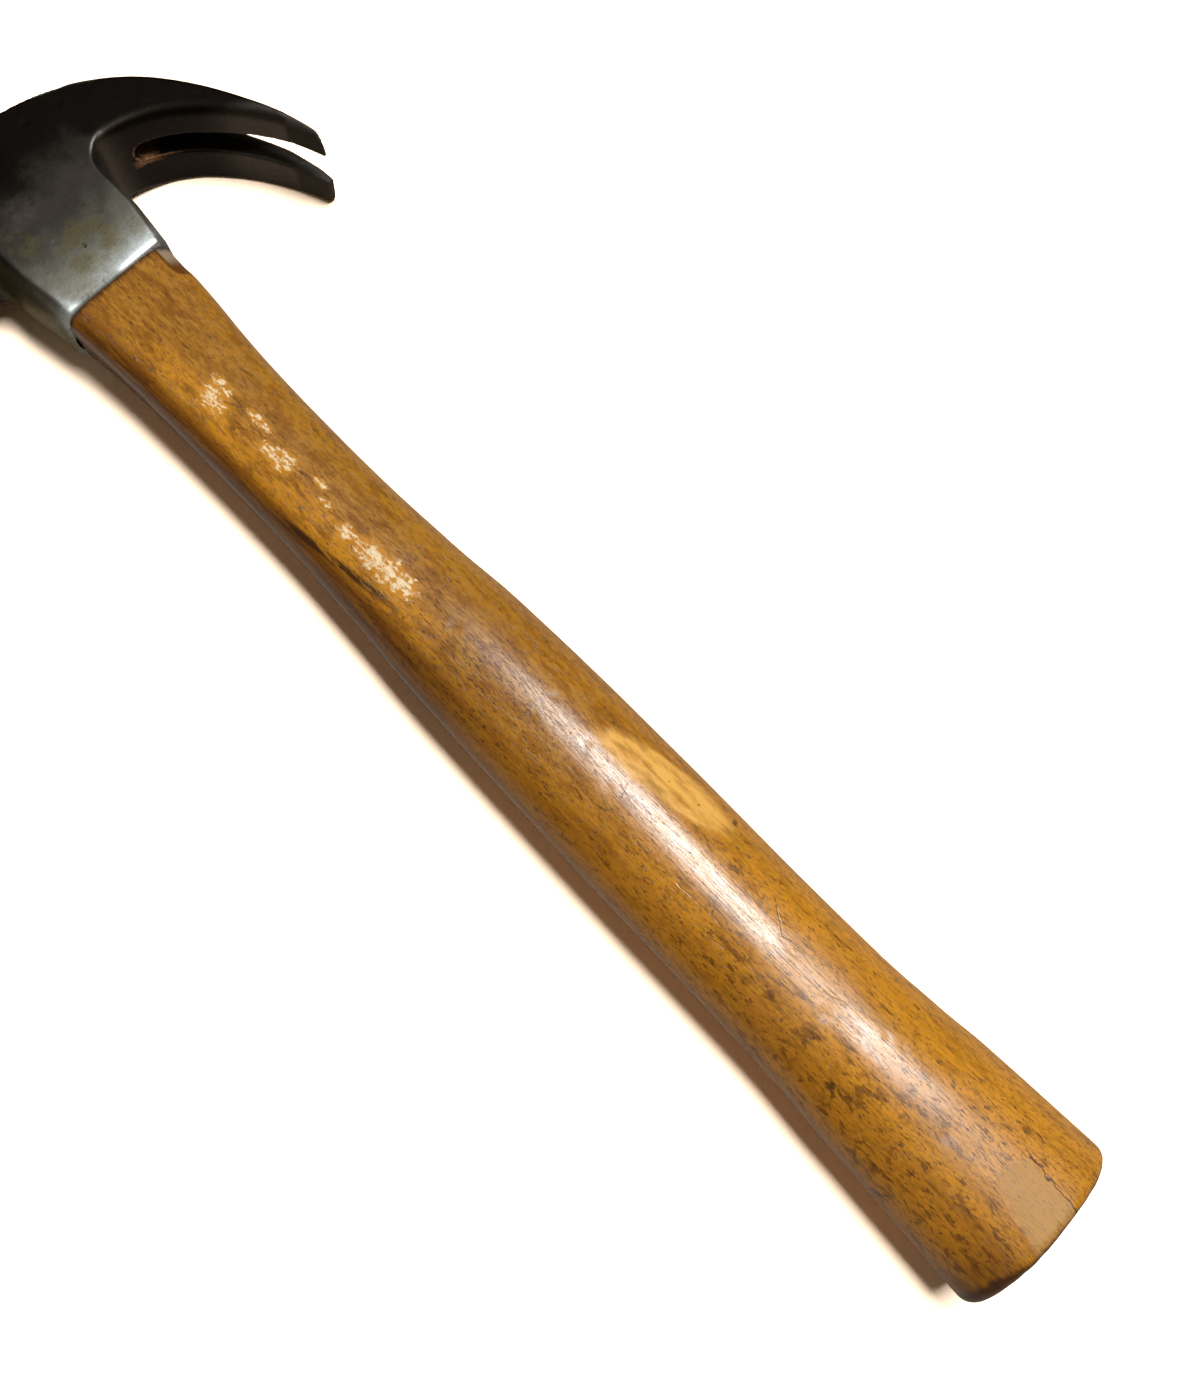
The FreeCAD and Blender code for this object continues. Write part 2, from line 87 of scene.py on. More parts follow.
class HeadSizes(bpy.types.PropertyGroup):
    """Sizes of the forged head."""

    eye_height: distance("Eye height", "From the socket's mouth to the crown", 49.5 * MM)
    cheek_half: distance("Half thickness", "From the middle plane to a cheek", 11.1 * MM)
    wall_half: distance("Socket half width", "From the eye's axis to a wall at the mouth", 15.0 * MM)
    wall_spread: distance("Socket spread", "How far a wall spreads above the mouth", 1.3 * MM)
    neck_radius: distance("Neck radius", "Radius of the round neck", 10.5 * MM)
    poll_radius: distance("Poll radius", "Radius of the poll behind its bevel", 13.98 * MM)
    grain: distance("Mesh step", "Distance between the points of the head's mesh", 0.48 * MM)


class HandleSizes(bpy.types.PropertyGroup):
    """Sizes of the handle's grip."""

    length: distance("Length", "From the socket's mouth to the butt's crown", HANDLE_BOX[1].x - MOUTH.x)
    butt_wear: distance("Butt wear", "How far the butt's end is worn down", 1.7 * MM)
    butt_rounding: distance("Butt rounding", "Radius of the butt's edge", 2.6 * MM)
    butt_crown: distance("Butt crown", "How far the butt's end bulges", 2.1 * MM)
    butt_slant: distance("Butt slant", "How much shorter the butt is on the claw's side", 0.35 * MM)
    butt_turn: FloatProperty(
        name="Butt turn", description="How far the butt's edge turns before the end's bulge takes over",
        default=math.radians(67), subtype="ANGLE",
    )
    shoulder_rounding: distance("Shoulder rounding", "Radius of the edge that meets the socket", 0.45 * MM)
    rings: IntProperty(name="Rings", description="Rings along the handle", default=500, min=60)
    sides: IntProperty(name="Sides", description="Points round the handle", default=168, min=24)


class Finishes(bpy.types.PropertyGroup):
    """Colours of the wood and the steel."""

    amber: paint("Amber wood", "Varnished wood under the socket", (0.37, 0.15, 0.013))
    # Honey also paints light along the claw's side of the grip by the socket.
    honey: paint("Honey wood", "Yellower streaks of the varnished wood", (0.5, 0.235, 0.019))
    golden: paint("Golden wood", "Brighter wood towards the butt", (0.65, 0.27, 0.015))
    # Russet also paints shade along the poll's side of the grip.
    russet: paint("Russet wood", "Redder patches, and the side that the hand holds", (0.27, 0.095, 0.006))
    orange: paint("Orange wood", "Bright patches where the varnish has thinned", (0.86, 0.46, 0.10))
    # Dark wood also paints shade along the poll's side of the grip.
    umber: paint("Dark wood", "Stained and handled wood", (0.105, 0.034, 0.004))
    # The pores' colour also paints shade round the butt's edge and in the joint with the socket.
    pores: paint("Pores", "Dirt in the open pores", (0.035, 0.014, 0.006))
    bare: paint("Bare wood", "Wood where the varnish has flaked away", (0.93, 0.76, 0.47))
    tan: paint("Dull wood", "Wood rubbed dull at the butt", (0.5, 0.27, 0.075))
    splinter: paint("Splintered wood", "Grey wood bared by the chip at the shoulder", (0.33, 0.235, 0.15))
    # Dark steel also paints shade on the neck.
    patina: paint("Dark steel", "Black patina of the forging", (0.016, 0.0125, 0.010))
    brown_steel: paint("Brown steel", "Thinner patina over the middle of the cheeks", (0.105, 0.092, 0.078))
    worn_steel: paint("Worn steel", "Steel where the patina has thinned", (0.38, 0.38, 0.31))
    pale_steel: paint("Pale steel", "Bare steel by the socket's mouth", (0.66, 0.72, 0.73))
    # Bright steel also paints highlights along the mouth's edge and the claw's ridge.
    bright_steel: paint("Bright steel", "Steel polished by wear along the edges", (0.80, 0.83, 0.84))
    stain: paint("Stained steel", "Yellow-brown stains on the cheeks", (0.22, 0.185, 0.085))
    rust: paint("Rust", "Rust in pits and corners", (0.34, 0.16, 0.06))


class StageSizes(bpy.types.PropertyGroup):
    """Floor and lamps."""

    floor_size: FloatProperty(
        name="Floor", description="Side of the square floor", default=6.0, unit="LENGTH",
    )
    key_power: FloatProperty(
        name="Key lamp", description="Power of the large overhead lamp in watts", default=11.6,
    )
    world_light: FloatProperty(
        name="World", description="Strength of the soft light from overhead", default=0.078,
    )


# Helpers for meshes

def new_piece(name, mesh, material, node=None):
    """Puts a finished mesh on the hammer's body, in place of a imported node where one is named."""
    piece = bpy.data.objects.new(name, mesh)
    bpy.context.scene.collection.objects.link(piece)
    mesh.materials.clear()
    mesh.materials.append(material)
    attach(piece, "root")
    if node:
        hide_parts(node)
    return piece


def coordinates(mesh):
    """The mesh's points as an array."""
    points = np.empty(len(mesh.vertices) * 3)
    mesh.vertices.foreach_get("co", points)
    return points.reshape(-1, 3)


def set_coordinates(mesh, points):
    mesh.vertices.foreach_set("co", points.ravel())
    mesh.update()


def point_normals(mesh):
    normals = np.empty(len(mesh.vertices) * 3)
    mesh.vertex_normals.foreach_get("vector", normals)
    return normals.reshape(-1, 3)


def store(mesh, name, values):
    """Keeps one number for each point of the mesh, for its material to read."""
    layer = mesh.attributes.new(name, "FLOAT", "POINT")
    layer.data.foreach_set("value", np.clip(values, 0.0, 1.0).astype(np.float32))


def shade_smooth(mesh):
    mesh.polygons.foreach_set("use_smooth", [True] * len(mesh.polygons))
    mesh.update()


def waves(points, size, seed):
    """Smooth noise between -1 and 1 at each point, with lumps of about the given size."""
    shift = Vector((seed * 17.3, seed * 5.1, seed * 9.7))
    return np.array([noise.noise(Vector(point) / size + shift) for point in points])


def neighbours(mesh):
    """The two ends of every edge, and how many edges meet at each point, or 1 where none does."""
    ends = np.empty(len(mesh.edges) * 2, dtype=np.int64)
    mesh.edges.foreach_get("vertices", ends)
    first, second = ends.reshape(-1, 2).T
    return first, second, np.maximum(np.bincount(ends, minlength=len(mesh.vertices)), 1)


def spread_over_edges(mesh, values, rounds):
    """Averages a value over neighbouring points."""
    first, second, count = neighbours(mesh)
    for _ in range(rounds):
        total = np.bincount(first, values[second], len(values))
        total += np.bincount(second, values[first], len(values))
        values = (values + total / count) / 2
    return values


def sharpness(mesh):
    """How far each point stands out from its neighbours: above 0 on ridges and below 0 in corners."""
    points = coordinates(mesh)
    normals = point_normals(mesh)
    first, second, count = neighbours(mesh)
    run = points[second] - points[first]
    length = np.maximum(np.linalg.norm(run, axis=1), 1e-9)
    from_first = -(run * normals[first]).sum(1) / length
    from_second = (run * normals[second]).sum(1) / length
    total = np.bincount(first, from_first, len(points)) + np.bincount(second, from_second, len(points))
    return total / count


def dents(moved, points, normals, chooser, choices, number, radii, depths):
    """Presses round dents of chance sizes into moved points, at places picked from the choices."""
    picked = [int(choices[chooser.randrange(len(choices))]) for _ in range(number)]
    places = points[picked]
    widths = [chooser.uniform(*radii) for _ in picked]
    deep = [chooser.uniform(*depths) for _ in picked]
    before = moved
    moved = before.copy()
    for place, radius, depth in zip(places, widths, deep):
        away = np.linalg.norm(before - place, axis=1) / radius
        near = away < 1
        push = depth * (1 - away[near] ** 2) ** 2
        moved[near] -= normals[near] * push[:, None]
    return moved


# Fields: a shape is the part of space where its field is below 0. Fields are in millimetres.

def smooth_max(first, second, width):
    """The larger of two fields, with the corner between them rounded over the width."""
    overlap = np.maximum(width - np.abs(first - second), 0.0) / width
    return np.maximum(first, second) + overlap**2 * width / 4


def smooth_min(first, second, width):
    return -smooth_max(-first, -second, width)


def bow(reach, side, sweep, centre, radius, end_radius):
    """Distance outside two tangent arcs. The first sweeps from straight up towards the claw."""
    turn = math.radians(sweep)
    towards_join = np.array((-math.cos(turn), math.sin(turn)))
    onward = np.array((math.sin(turn), math.cos(turn)))
    end_centre = centre + towards_join * (radius - end_radius)
    past_join = (reach - centre[0]) * onward[0] + (side - centre[1]) * onward[1] > 0
    first = np.hypot(reach - centre[0], side - centre[1]) - radius
    second = np.hypot(reach - end_centre[0], side - end_centre[1]) - end_radius
    return np.where(past_join, second, first)


def field_mesh(name, field, low, high, step):
    """Meshes the zero surface of a field, in millimetres, with the points drawn onto the surface."""
    axes = [np.arange(start, end + spacing, spacing) for start, end, spacing in zip(low, high, step)]
    grid = np.meshgrid(*axes, indexing="ij")
    values = field(*grid)
    inside = values < 0
    shape = np.array(values.shape) - 1
    total = np.zeros((*shape, 3))
    count = np.zeros(shape)
    corner = {0: slice(0, -1), 1: slice(1, None)}
    for axis in range(3):
        others = [number for number in range(3) if number != axis]
        for one, other in ((0, 0), (0, 1), (1, 0), (1, 1)):
            near = [None] * 3
            near[others[0]], near[others[1]] = corner[one], corner[other]
            far = near.copy()
            near[axis], far[axis] = corner[0], corner[1]
            near, far = tuple(near), tuple(far)
            crossed = inside[near] != inside[far]
            share = np.where(crossed, values[near] / np.where(crossed, values[near] - values[far], 1), 0)
            place = np.zeros((*shape, 3))
            place[..., axis], place[..., others[0]], place[..., others[1]] = share, one, other
            total += place * crossed[..., None]
            count += crossed
    used = count > 0
    index = np.full(shape, -1)
    index[used] = np.arange(used.sum())
    cells = np.argwhere(used)
    points = (cells + total[used] / count[used][:, None]) * np.array(step) + np.array(low)
    faces = []
    for axis in range(3):
        others = [(axis + 1) % 3, (axis + 2) % 3]
        span = [slice(1, -1)] * 3
        span[axis] = slice(0, -1)
        start = inside[tuple(span)]
        span[axis] = slice(1, None)
        end = inside[tuple(span)]
        for flip, crossed in ((False, start & ~end), (True, ~start & end)):
            base = np.argwhere(crossed)
            base[:, others[0]] += 1
            base[:, others[1]] += 1
            quad = []
            for one, other in ((1, 1), (0, 1), (0, 0), (1, 0)):
                cell = base.copy()
                cell[:, others[0]] -= one
                cell[:, others[1]] -= other
                quad.append(index[cell[:, 0], cell[:, 1], cell[:, 2]])
            quad = np.stack(quad, 1)
            faces.append(quad[:, ::-1] if flip else quad)
    faces = np.concatenate(faces)
    small = 0.01
    for _ in range(3):
        value = field(*points.T)
        slope = np.empty_like(points)
        for axis in range(3):
            shifted = points.copy()
            shifted[:, axis] += small
            slope[:, axis] = (field(*shifted.T) - value) / small
        size = np.maximum((slope**2).sum(1), 0.25)
        move = np.clip(value / size, -max(step) / 2, max(step) / 2)
        points -= slope * move[:, None]
    mesh = bpy.data.meshes.new(name)
    mesh.from_pydata(points.tolist(), [], faces.tolist())
    mesh.validate()
    return mesh


# The head. Its shape is given in millimetres, as reach, side and height.

CROWN_SWEEP = 52
CLAW_BACK_RADIUS = 92
CLAW_ROOT = (-28.9, 16.8)
CLAW_INSIDE_SWEEP = 45
CLAW_INSIDE_RADIUS = 33
CLAW_TIP_RADIUS = 64
CLAW_FLARE = 2.9
CLAW_TIP_SIDE = 56.25
CORNER_CENTRE = (-7.9, 6.5)
CORNER_RADIUS = 14
SLOT_CENTRE = 28.5
SLOT_STATIONS = (28.5, 34.0, 41.0, 48.0, 53.0, 57.0)
SLOT_UPPER_HALVES = (2.9, 3.1, 3.4, 4.3, 4.7, 4.7)
SLOT_LOWER_HALVES = (2.9, 3.1, 3.1, 3.5, 4.0, 4.2)
SWELL_STATIONS = (9.0, 17.0, 20.5, 24.0, 30.0, 40.0, 46.0, 50.0, 54.0, 56.3)
SWELLS = (0.05, 0.2, 0.35, 0.9, 0.85, 0.6, 0.4, 0.25, 0.45, 0.3)
BACK_CROWN_STATIONS = (30.0, 44.0, 54.0, 56.3)
BACK_CROWNS = (0.0, 1.6, 1.6, 0.8)
FILL_STATIONS = (30.0, 40.0, 46.0, 52.0, 56.0)
UPPER_FILLS = (0.0, 0.35, 0.3, 0.0, 0.0)
LOWER_FILLS = (0.0, 0.5, 0.7, 1.0, 0.9)
LOWER_FLARE_STATIONS = (17.0, 24.0, 29.0, 40.0, 56.3)
LOWER_FLARES = (0.0, 1.3, 2.3, 2.7, 2.9)
LOWER_CORNER = (3.0, 11.0, 3.0)
POLL_WALL_STATIONS = (0.0, 3.0, 8.0, 14.0, 20.0)
POLL_WALLS = (15.25, 15.55, 16.4, 17.5, 17.8)
POLL_LAND = 11.0
POLL_TAPER = 8.0
POLL_BEVEL = 1.6
EYE_HEIGHTS = (0.0, 23.0, 49.5)
EYE_HALF_WIDTHS = (12.7, 11.2, 12.1)
EYE_HALF_THICKNESSES = (8.5, 7.3, 8.4)
EYE_GAP = 0.14
EYE_POWER = 2.15
NECK_AXIS_RISE = 5.5
FACE_CROWN_RADIUS = 600
CLAW_START = 8
HEAD_GRID = ((-52, -71, -16), (8, 59, 16))
EDGE_RIDGE = 0.12
STRIKING_SIDE = -68
WEAR_GAIN = 2.2
# Dents along the edges, on the striking face and elsewhere: how many, their radii and their depths
HEAD_DENTS = (
    (26, (0.8, 1.8), (0.03, 0.09)),
    (40, (0.8, 2.2), (0.04, 0.14)),
    (60, (0.8, 1.7), (0.03, 0.1)),
)


def flare(side, upper):
    """How far the claw's flank stands out past the cheek. The lower flank comes down to the floor."""
    run = CLAW_TIP_SIDE - CLAW_ROOT[1]
    radius = (run**2 + CLAW_FLARE**2) / (2 * CLAW_FLARE)
    upper_flare = np.maximum(side - CLAW_ROOT[1], 0) ** 2 / (2 * radius)
    return np.where(upper, upper_flare, np.interp(side, LOWER_FLARE_STATIONS, LOWER_FLARES))


def claw_field(reach, side, height, cheek, upper):
    """The claw, from within the eye to its tips, with its nail slot."""
    back = crown_or_back(reach, side, height)
    centre = (CLAW_ROOT[0] + CLAW_INSIDE_RADIUS, CLAW_ROOT[1])
    inside = -bow(reach, side, CLAW_INSIDE_SWEEP, centre, CLAW_INSIDE_RADIUS, CLAW_TIP_RADIUS)
    inside -= np.where(
        upper, np.interp(side, FILL_STATIONS, UPPER_FILLS), np.interp(side, FILL_STATIONS, LOWER_FILLS)
    )
    flank = height - cheek - flare(side, upper)
    claw = smooth_max(inside, flank, np.where(upper, 2.6, 1.0))
    claw = smooth_max(claw, back, 0.9)
    tip = reach - TIP_DROP / MM + np.where(upper, 0, 0.15 * np.maximum(height - 4, 0))
    past = np.maximum(reach - CORNER_CENTRE[0], 0)
    upper_corner = np.hypot(past, np.maximum(height - CORNER_CENTRE[1], 0)) - CORNER_RADIUS
    middle, level, radius = LOWER_CORNER
    lower_corner = np.hypot(np.maximum(reach - middle, 0), np.maximum(height - level, 0)) - radius
    corner = np.where(upper, upper_corner, lower_corner)
    claw = smooth_max(claw, np.maximum(tip, corner), 0.4)
    claw = smooth_max(claw, side - CLAW_TIP_SIDE, 0.3)
    upper_half = np.interp(side, SLOT_STATIONS, SLOT_UPPER_HALVES)
    half = np.where(upper, upper_half, np.interp(side, SLOT_STATIONS, SLOT_LOWER_HALVES))
    root = np.hypot(side - SLOT_CENTRE, height) - SLOT_UPPER_HALVES[0]
    slot = np.where(side < SLOT_CENTRE, root, height - half)
    bevel = 0.9 * np.clip(1 + back / 2.0, 0, 1) ** 2
    return smooth_max(claw, -(slot - bevel), 0.5)


def poll_field(reach, side, height, sizes):
    """The round neck and the poll, down to the striking face."""
    out = -side
    face = FACE_REACH / MM
    neck = sizes.neck_radius / MM
    poll = sizes.poll_radius / MM
    axis = -(sizes.eye_height / MM - neck - NECK_AXIS_RISE)
    radius = np.hypot(reach - axis, height)
    taper_end = face - POLL_BEVEL - POLL_LAND
    along = np.clip(out - taper_end + POLL_TAPER, 0, POLL_TAPER)
    step = poll - neck
    turn = (POLL_TAPER**2 + step**2) / (2 * step)
    profile = neck + turn - np.sqrt(turn**2 - along**2)
    shaft = smooth_max(radius - profile, -out, 8.0)
    bevel = (radius + out - (poll + face - POLL_BEVEL)) / math.sqrt(2)
    end = out - face + radius**2 / (2 * FACE_CROWN_RADIUS)
    shaft = smooth_max(shaft, bevel, 0.8)
    return smooth_max(shaft, end, 0.6)


def socket_field(reach, side, height, cheek, sizes):
    """The adze eye: flat cheeks, walls that spread above the mouth, and a facet along each corner."""
    rise = np.clip(-reach / 12, 0, 1)
    spread = sizes.wall_spread / MM
    claw_wall = sizes.wall_half / MM + spread * rise
    claw_edge = claw_wall - 1.4 + 0.4 * rise
    poll_wall = np.interp(-reach, POLL_WALL_STATIONS, POLL_WALLS) - 0.045 * np.maximum(height - 2, 0) ** 2
    poll_edge = sizes.wall_half / MM - 2.0 + 1.6 * np.clip(-reach / 28, 0, 1)
    result = None
    for wall, edge, out, depth in ((claw_wall, claw_edge, side, 2.4), (poll_wall, poll_edge, -side, 3.0)):
        lean = np.maximum(wall - edge, 0.8)
        facet = ((out - edge) * depth + (height - cheek) * lean) / np.sqrt(depth**2 + lean**2)
        flank = smooth_max(out - wall, facet, 0.7)
        result = flank if result is None else np.maximum(result, flank)
    socket = smooth_max(result, height - cheek, 0.7)
    return smooth_max(socket, reach, 1.5)


def eye_field(reach, side, height):
    """The hole for the tenon, narrowest at its waist."""
    up = -reach
    half_width = np.interp(up, EYE_HEIGHTS, EYE_HALF_WIDTHS) + EYE_GAP
    half_thickness = np.interp(up, EYE_HEIGHTS, EYE_HALF_THICKNESSES) + EYE_GAP
    oval = np.abs(side / half_width) ** EYE_POWER + (height / half_thickness) ** EYE_POWER
    oval = oval ** (1 / EYE_POWER)
    return (oval - 1) * half_thickness


def head_field(reach, side, height):
    """The whole forged head."""
    sizes = bpy.context.scene.hammer_head
    upper = height > 0
    height = np.abs(height)
    crown_radius = sizes.eye_height / MM
    cheek = sizes.cheek_half / MM - 0.5 * (np.clip(reach + 12, 0, 12) / 12) ** 2
    claw = claw_field(reach, side, height, cheek, upper)
    socket = socket_field(reach, side, height, cheek, sizes)
    poll = poll_field(reach, side, height, sizes)
    crown = np.where(side > 0, np.hypot(reach, side), -reach) - crown_radius
    socket = smooth_max(socket, crown, 0.9)
    head = smooth_min(socket, np.maximum(claw, CLAW_START - side), 6.5)
    head = np.maximum(head, crown_or_back(reach, side, height))
    head = np.maximum(head, height - cheek - flare(side, upper))
    head = smooth_min(head, poll, 5.5)
    head = smooth_max(head, -reach - crown_radius, 0.4)
    return smooth_max(head, -eye_field(reach, side, height), 0.5)


def crown_or_back(reach, side, height):
    """The outline of the head's top, from over the poll to the claw's tips, where it is fullest midway."""
    crown_radius = bpy.context.scene.hammer_head.eye_height / MM
    back = bow(reach, side, CROWN_SWEEP, (0, 0), crown_radius, CLAW_BACK_RADIUS)
    full = np.clip(1 - (height / 13) ** 2, 0, 1)
    back -= np.interp(side, SWELL_STATIONS, SWELLS)
    back -= np.interp(side, BACK_CROWN_STATIONS, BACK_CROWNS) * full
    return np.where(side > 0, np.maximum(back, -reach - crown_radius), -reach - crown_radius)


def build_head_mesh():
    """Meshes the head, gives it its dents and marks, and moves it into place."""
    sizes = bpy.context.scene.hammer_head
    grain = sizes.grain / MM
    step = (grain, grain * 0.875, grain)
    mesh = field_mesh("hammer_head_forged", head_field, *HEAD_GRID, step)
    shade_smooth(mesh)
    points = coordinates(mesh)
    normals = point_normals(mesh)
    ridge = spread_over_edges(mesh, sharpness(mesh), 2)
    lumps = waves(points, 9.0, 1) * 0.05 + waves(points, 3.0, 2) * 0.02
    outer = eye_field(points[:, 0], points[:, 1], np.abs(points[:, 2])) > EYE_GAP
    points -= normals * (np.abs(lumps) * outer)[:, None]
    chooser = random.Random(7)
    edge_points = np.nonzero((ridge > EDGE_RIDGE) & outer)[0]
    face_points = np.nonzero((points[:, 1] < STRIKING_SIDE) & outer)[0]
    flat_points = np.nonzero(outer)[0]
    for choices, (number, radii, depths) in zip((edge_points, face_points, flat_points), HEAD_DENTS):
        points = dents(points, points, normals, chooser, choices, number, radii, depths)
    store(mesh, "wear", ridge * WEAR_GAIN)
    store(mesh, "corner", -ridge * WEAR_GAIN)
    set_coordinates(mesh, points * MM + np.array(MOUTH))
    shade_smooth(mesh)
    return mesh


# The handle. Each station is a reach from the socket's mouth, then the half width, the half thickness, how
# far the middle drifts towards the claw, and the power of the oval: 2 is an ellipse, and more is squarer.

STATIONS = (
    (0, 14.35, 10.75, 0.3, 5.6),
    (6, 14.1, 10.5, 0.65, 5.0),
    (13, 13.75, 10.25, 0.75, 4.1),
    (24, 13.15, 9.95, 0.5, 3.3),
    (43, 12.6, 9.6, 0.2, 2.7),
    (62, 12.55, 9.5, 0.15, 2.4),
    (92, 13.65, 10.25, 0.15, 2.25),
    (118, 15.45, 11.35, 0.3, 2.15),
    (165, 16.35, 12.0, 0.05, 2.15),
    (215, 16.7, 12.4, -0.25, 2.15),
    (234, 17.75, 12.85, -0.3, 2.15),
    (248, 18.75, 13.2, 0.0, 2.15),
    (280.5, 20.55, 13.98, 0.0, 2.15),
)
START_SHARE = 0.012
SHOULDER_SHARE = 0.018
SIDE_END = 0.93
ROUND_END = 0.96


class Tree:
    """A node tree with short calls for adding nodes. A value is a number or the socket that gives it."""

    def __init__(self, tree):
        self.tree = tree
        self.painted = None

    def node(self, kind, inputs=None, **settings):
        node = self.tree.nodes.new(kind)
        for name, value in settings.items():
            setattr(node, name, value)
        for name, value in (inputs or {}).items():
            self.plug(node.inputs[name], value)
        return node

    def plug(self, socket, value):
        if isinstance(value, bpy.types.NodeSocket):
            self.tree.links.new(value, socket)
        elif value is not None:
            socket.default_value = value

    def math(self, operation, *values, clamp=False):
        inputs = dict(enumerate(values))
        return self.node("ShaderNodeMath", inputs, operation=operation, use_clamp=clamp).outputs[0]

    def share(self, first, *others):
        """The product of the values."""
        for other in others:
            first = self.math("MULTIPLY", first, other)
        return first

    def scaled(self, value, scale, offset):
        return self.math("MULTIPLY_ADD", value, scale, offset)

    def plus(self, first, second):
        return self.math("ADD", first, second)

    def less(self, first, second):
        return self.math("SUBTRACT", first, second)

    def most(self, first, second):
        return self.math("MAXIMUM", first, second)

    def vector_math(self, operation, *values):
        node = self.node("ShaderNodeVectorMath", dict(enumerate(values)), operation=operation)
        return node.outputs["Value" if operation in ("LENGTH", "DISTANCE", "DOT_PRODUCT") else "Vector"]

    def ramp(self, value, low, high, start=0.0, end=1.0):
        """Runs smoothly from start to end while the value runs from low to high."""
        node = self.node(
            "ShaderNodeMapRange",
            {"Value": value, "From Min": low, "From Max": high, "To Min": start, "To Max": end},
            interpolation_type="SMOOTHSTEP",
        )
        return node.outputs["Result"]

    def mix(self, share, first, second, mode="MIX"):
        """Mixes two colours."""
        node = self.node("ShaderNodeMix", data_type="RGBA", blend_type=mode)
        for number, value in ((0, share), (6, first), (7, second)):
            if not isinstance(value, (bpy.types.NodeSocket, float, int)):
                value = (*value[:3], 1.0)
            self.plug(node.inputs[number], value)
        return node.outputs[2]

    def coat(self, mask, colour):
        """Paints over what has been painted so far, where the mask is 1."""
        self.painted = self.mix(mask, self.painted, colour)

    def cloud(self, place, size, detail=2.0, roughness=0.5, warp=0.0):
        """Noise from 0 to 1, with lumps of the given size in millimetres, or one size for each axis."""
        sizes = size if isinstance(size, tuple) else (size,) * 3
        scale = tuple(1 / number for number in sizes)
        moved = self.node("ShaderNodeMapping", {"Vector": place, "Scale": scale}).outputs[0]
        node = self.node(
            "ShaderNodeTexNoise",
            {"Vector": moved, "Scale": 1.0, "Detail": detail, "Roughness": roughness, "Distortion": warp},
        )
        return node.outputs[0]

    def attribute(self, name):
        return self.node("ShaderNodeAttribute", attribute_name=name).outputs["Fac"]

    def millimetres(self):
        """Reach, side and height in millimetres, as one vector and as three numbers."""
        place = self.node("ShaderNodeTexCoord").outputs["Object"]
        start = tuple(-distance / MM for distance in MOUTH)
        place = self.node(
            "ShaderNodeMapping", {"Vector": place, "Location": start, "Scale": (1 / MM,) * 3}
        ).outputs[0]
        return place, self.node("ShaderNodeSeparateXYZ", {0: place}).outputs

    def surface(self, **inputs):
        """The surface shader, with its inputs named in small letters and underscores."""
        node = self.node("ShaderNodeBsdfPrincipled")
        for name, value in inputs.items():
            self.plug(node.inputs[name.replace("_", " ").title().replace("Ior", "IOR")], value)
        self.node("ShaderNodeOutputMaterial", {"Surface": node.outputs[0]})


def new_material(name):
    material = bpy.data.materials.new(name)
    material.use_nodes = True
    material.node_tree.nodes.clear()
    return material, Tree(material.node_tree)


def station_curve(tree, share, column):
    """A curve node that gives a column of the stations at a share of the handle's length."""
    column = [station[column] for station in STATIONS]
    low = min(column)
    span = max(column) - low
    node = tree.node("ShaderNodeFloatCurve", {"Value": share})
    curve = node.mapping.curves[0]
    while len(curve.points) < len(STATIONS):
        curve.points.new(0.5, 0.5)
    for point, station, value in zip(curve.points, STATIONS, column):
        point.location = (station[0] / STATIONS[-1][0], (value - low) / span)
        point.handle_type = "AUTO"
    node.mapping.update()
    return tree.scaled(node.outputs[0], span, low)


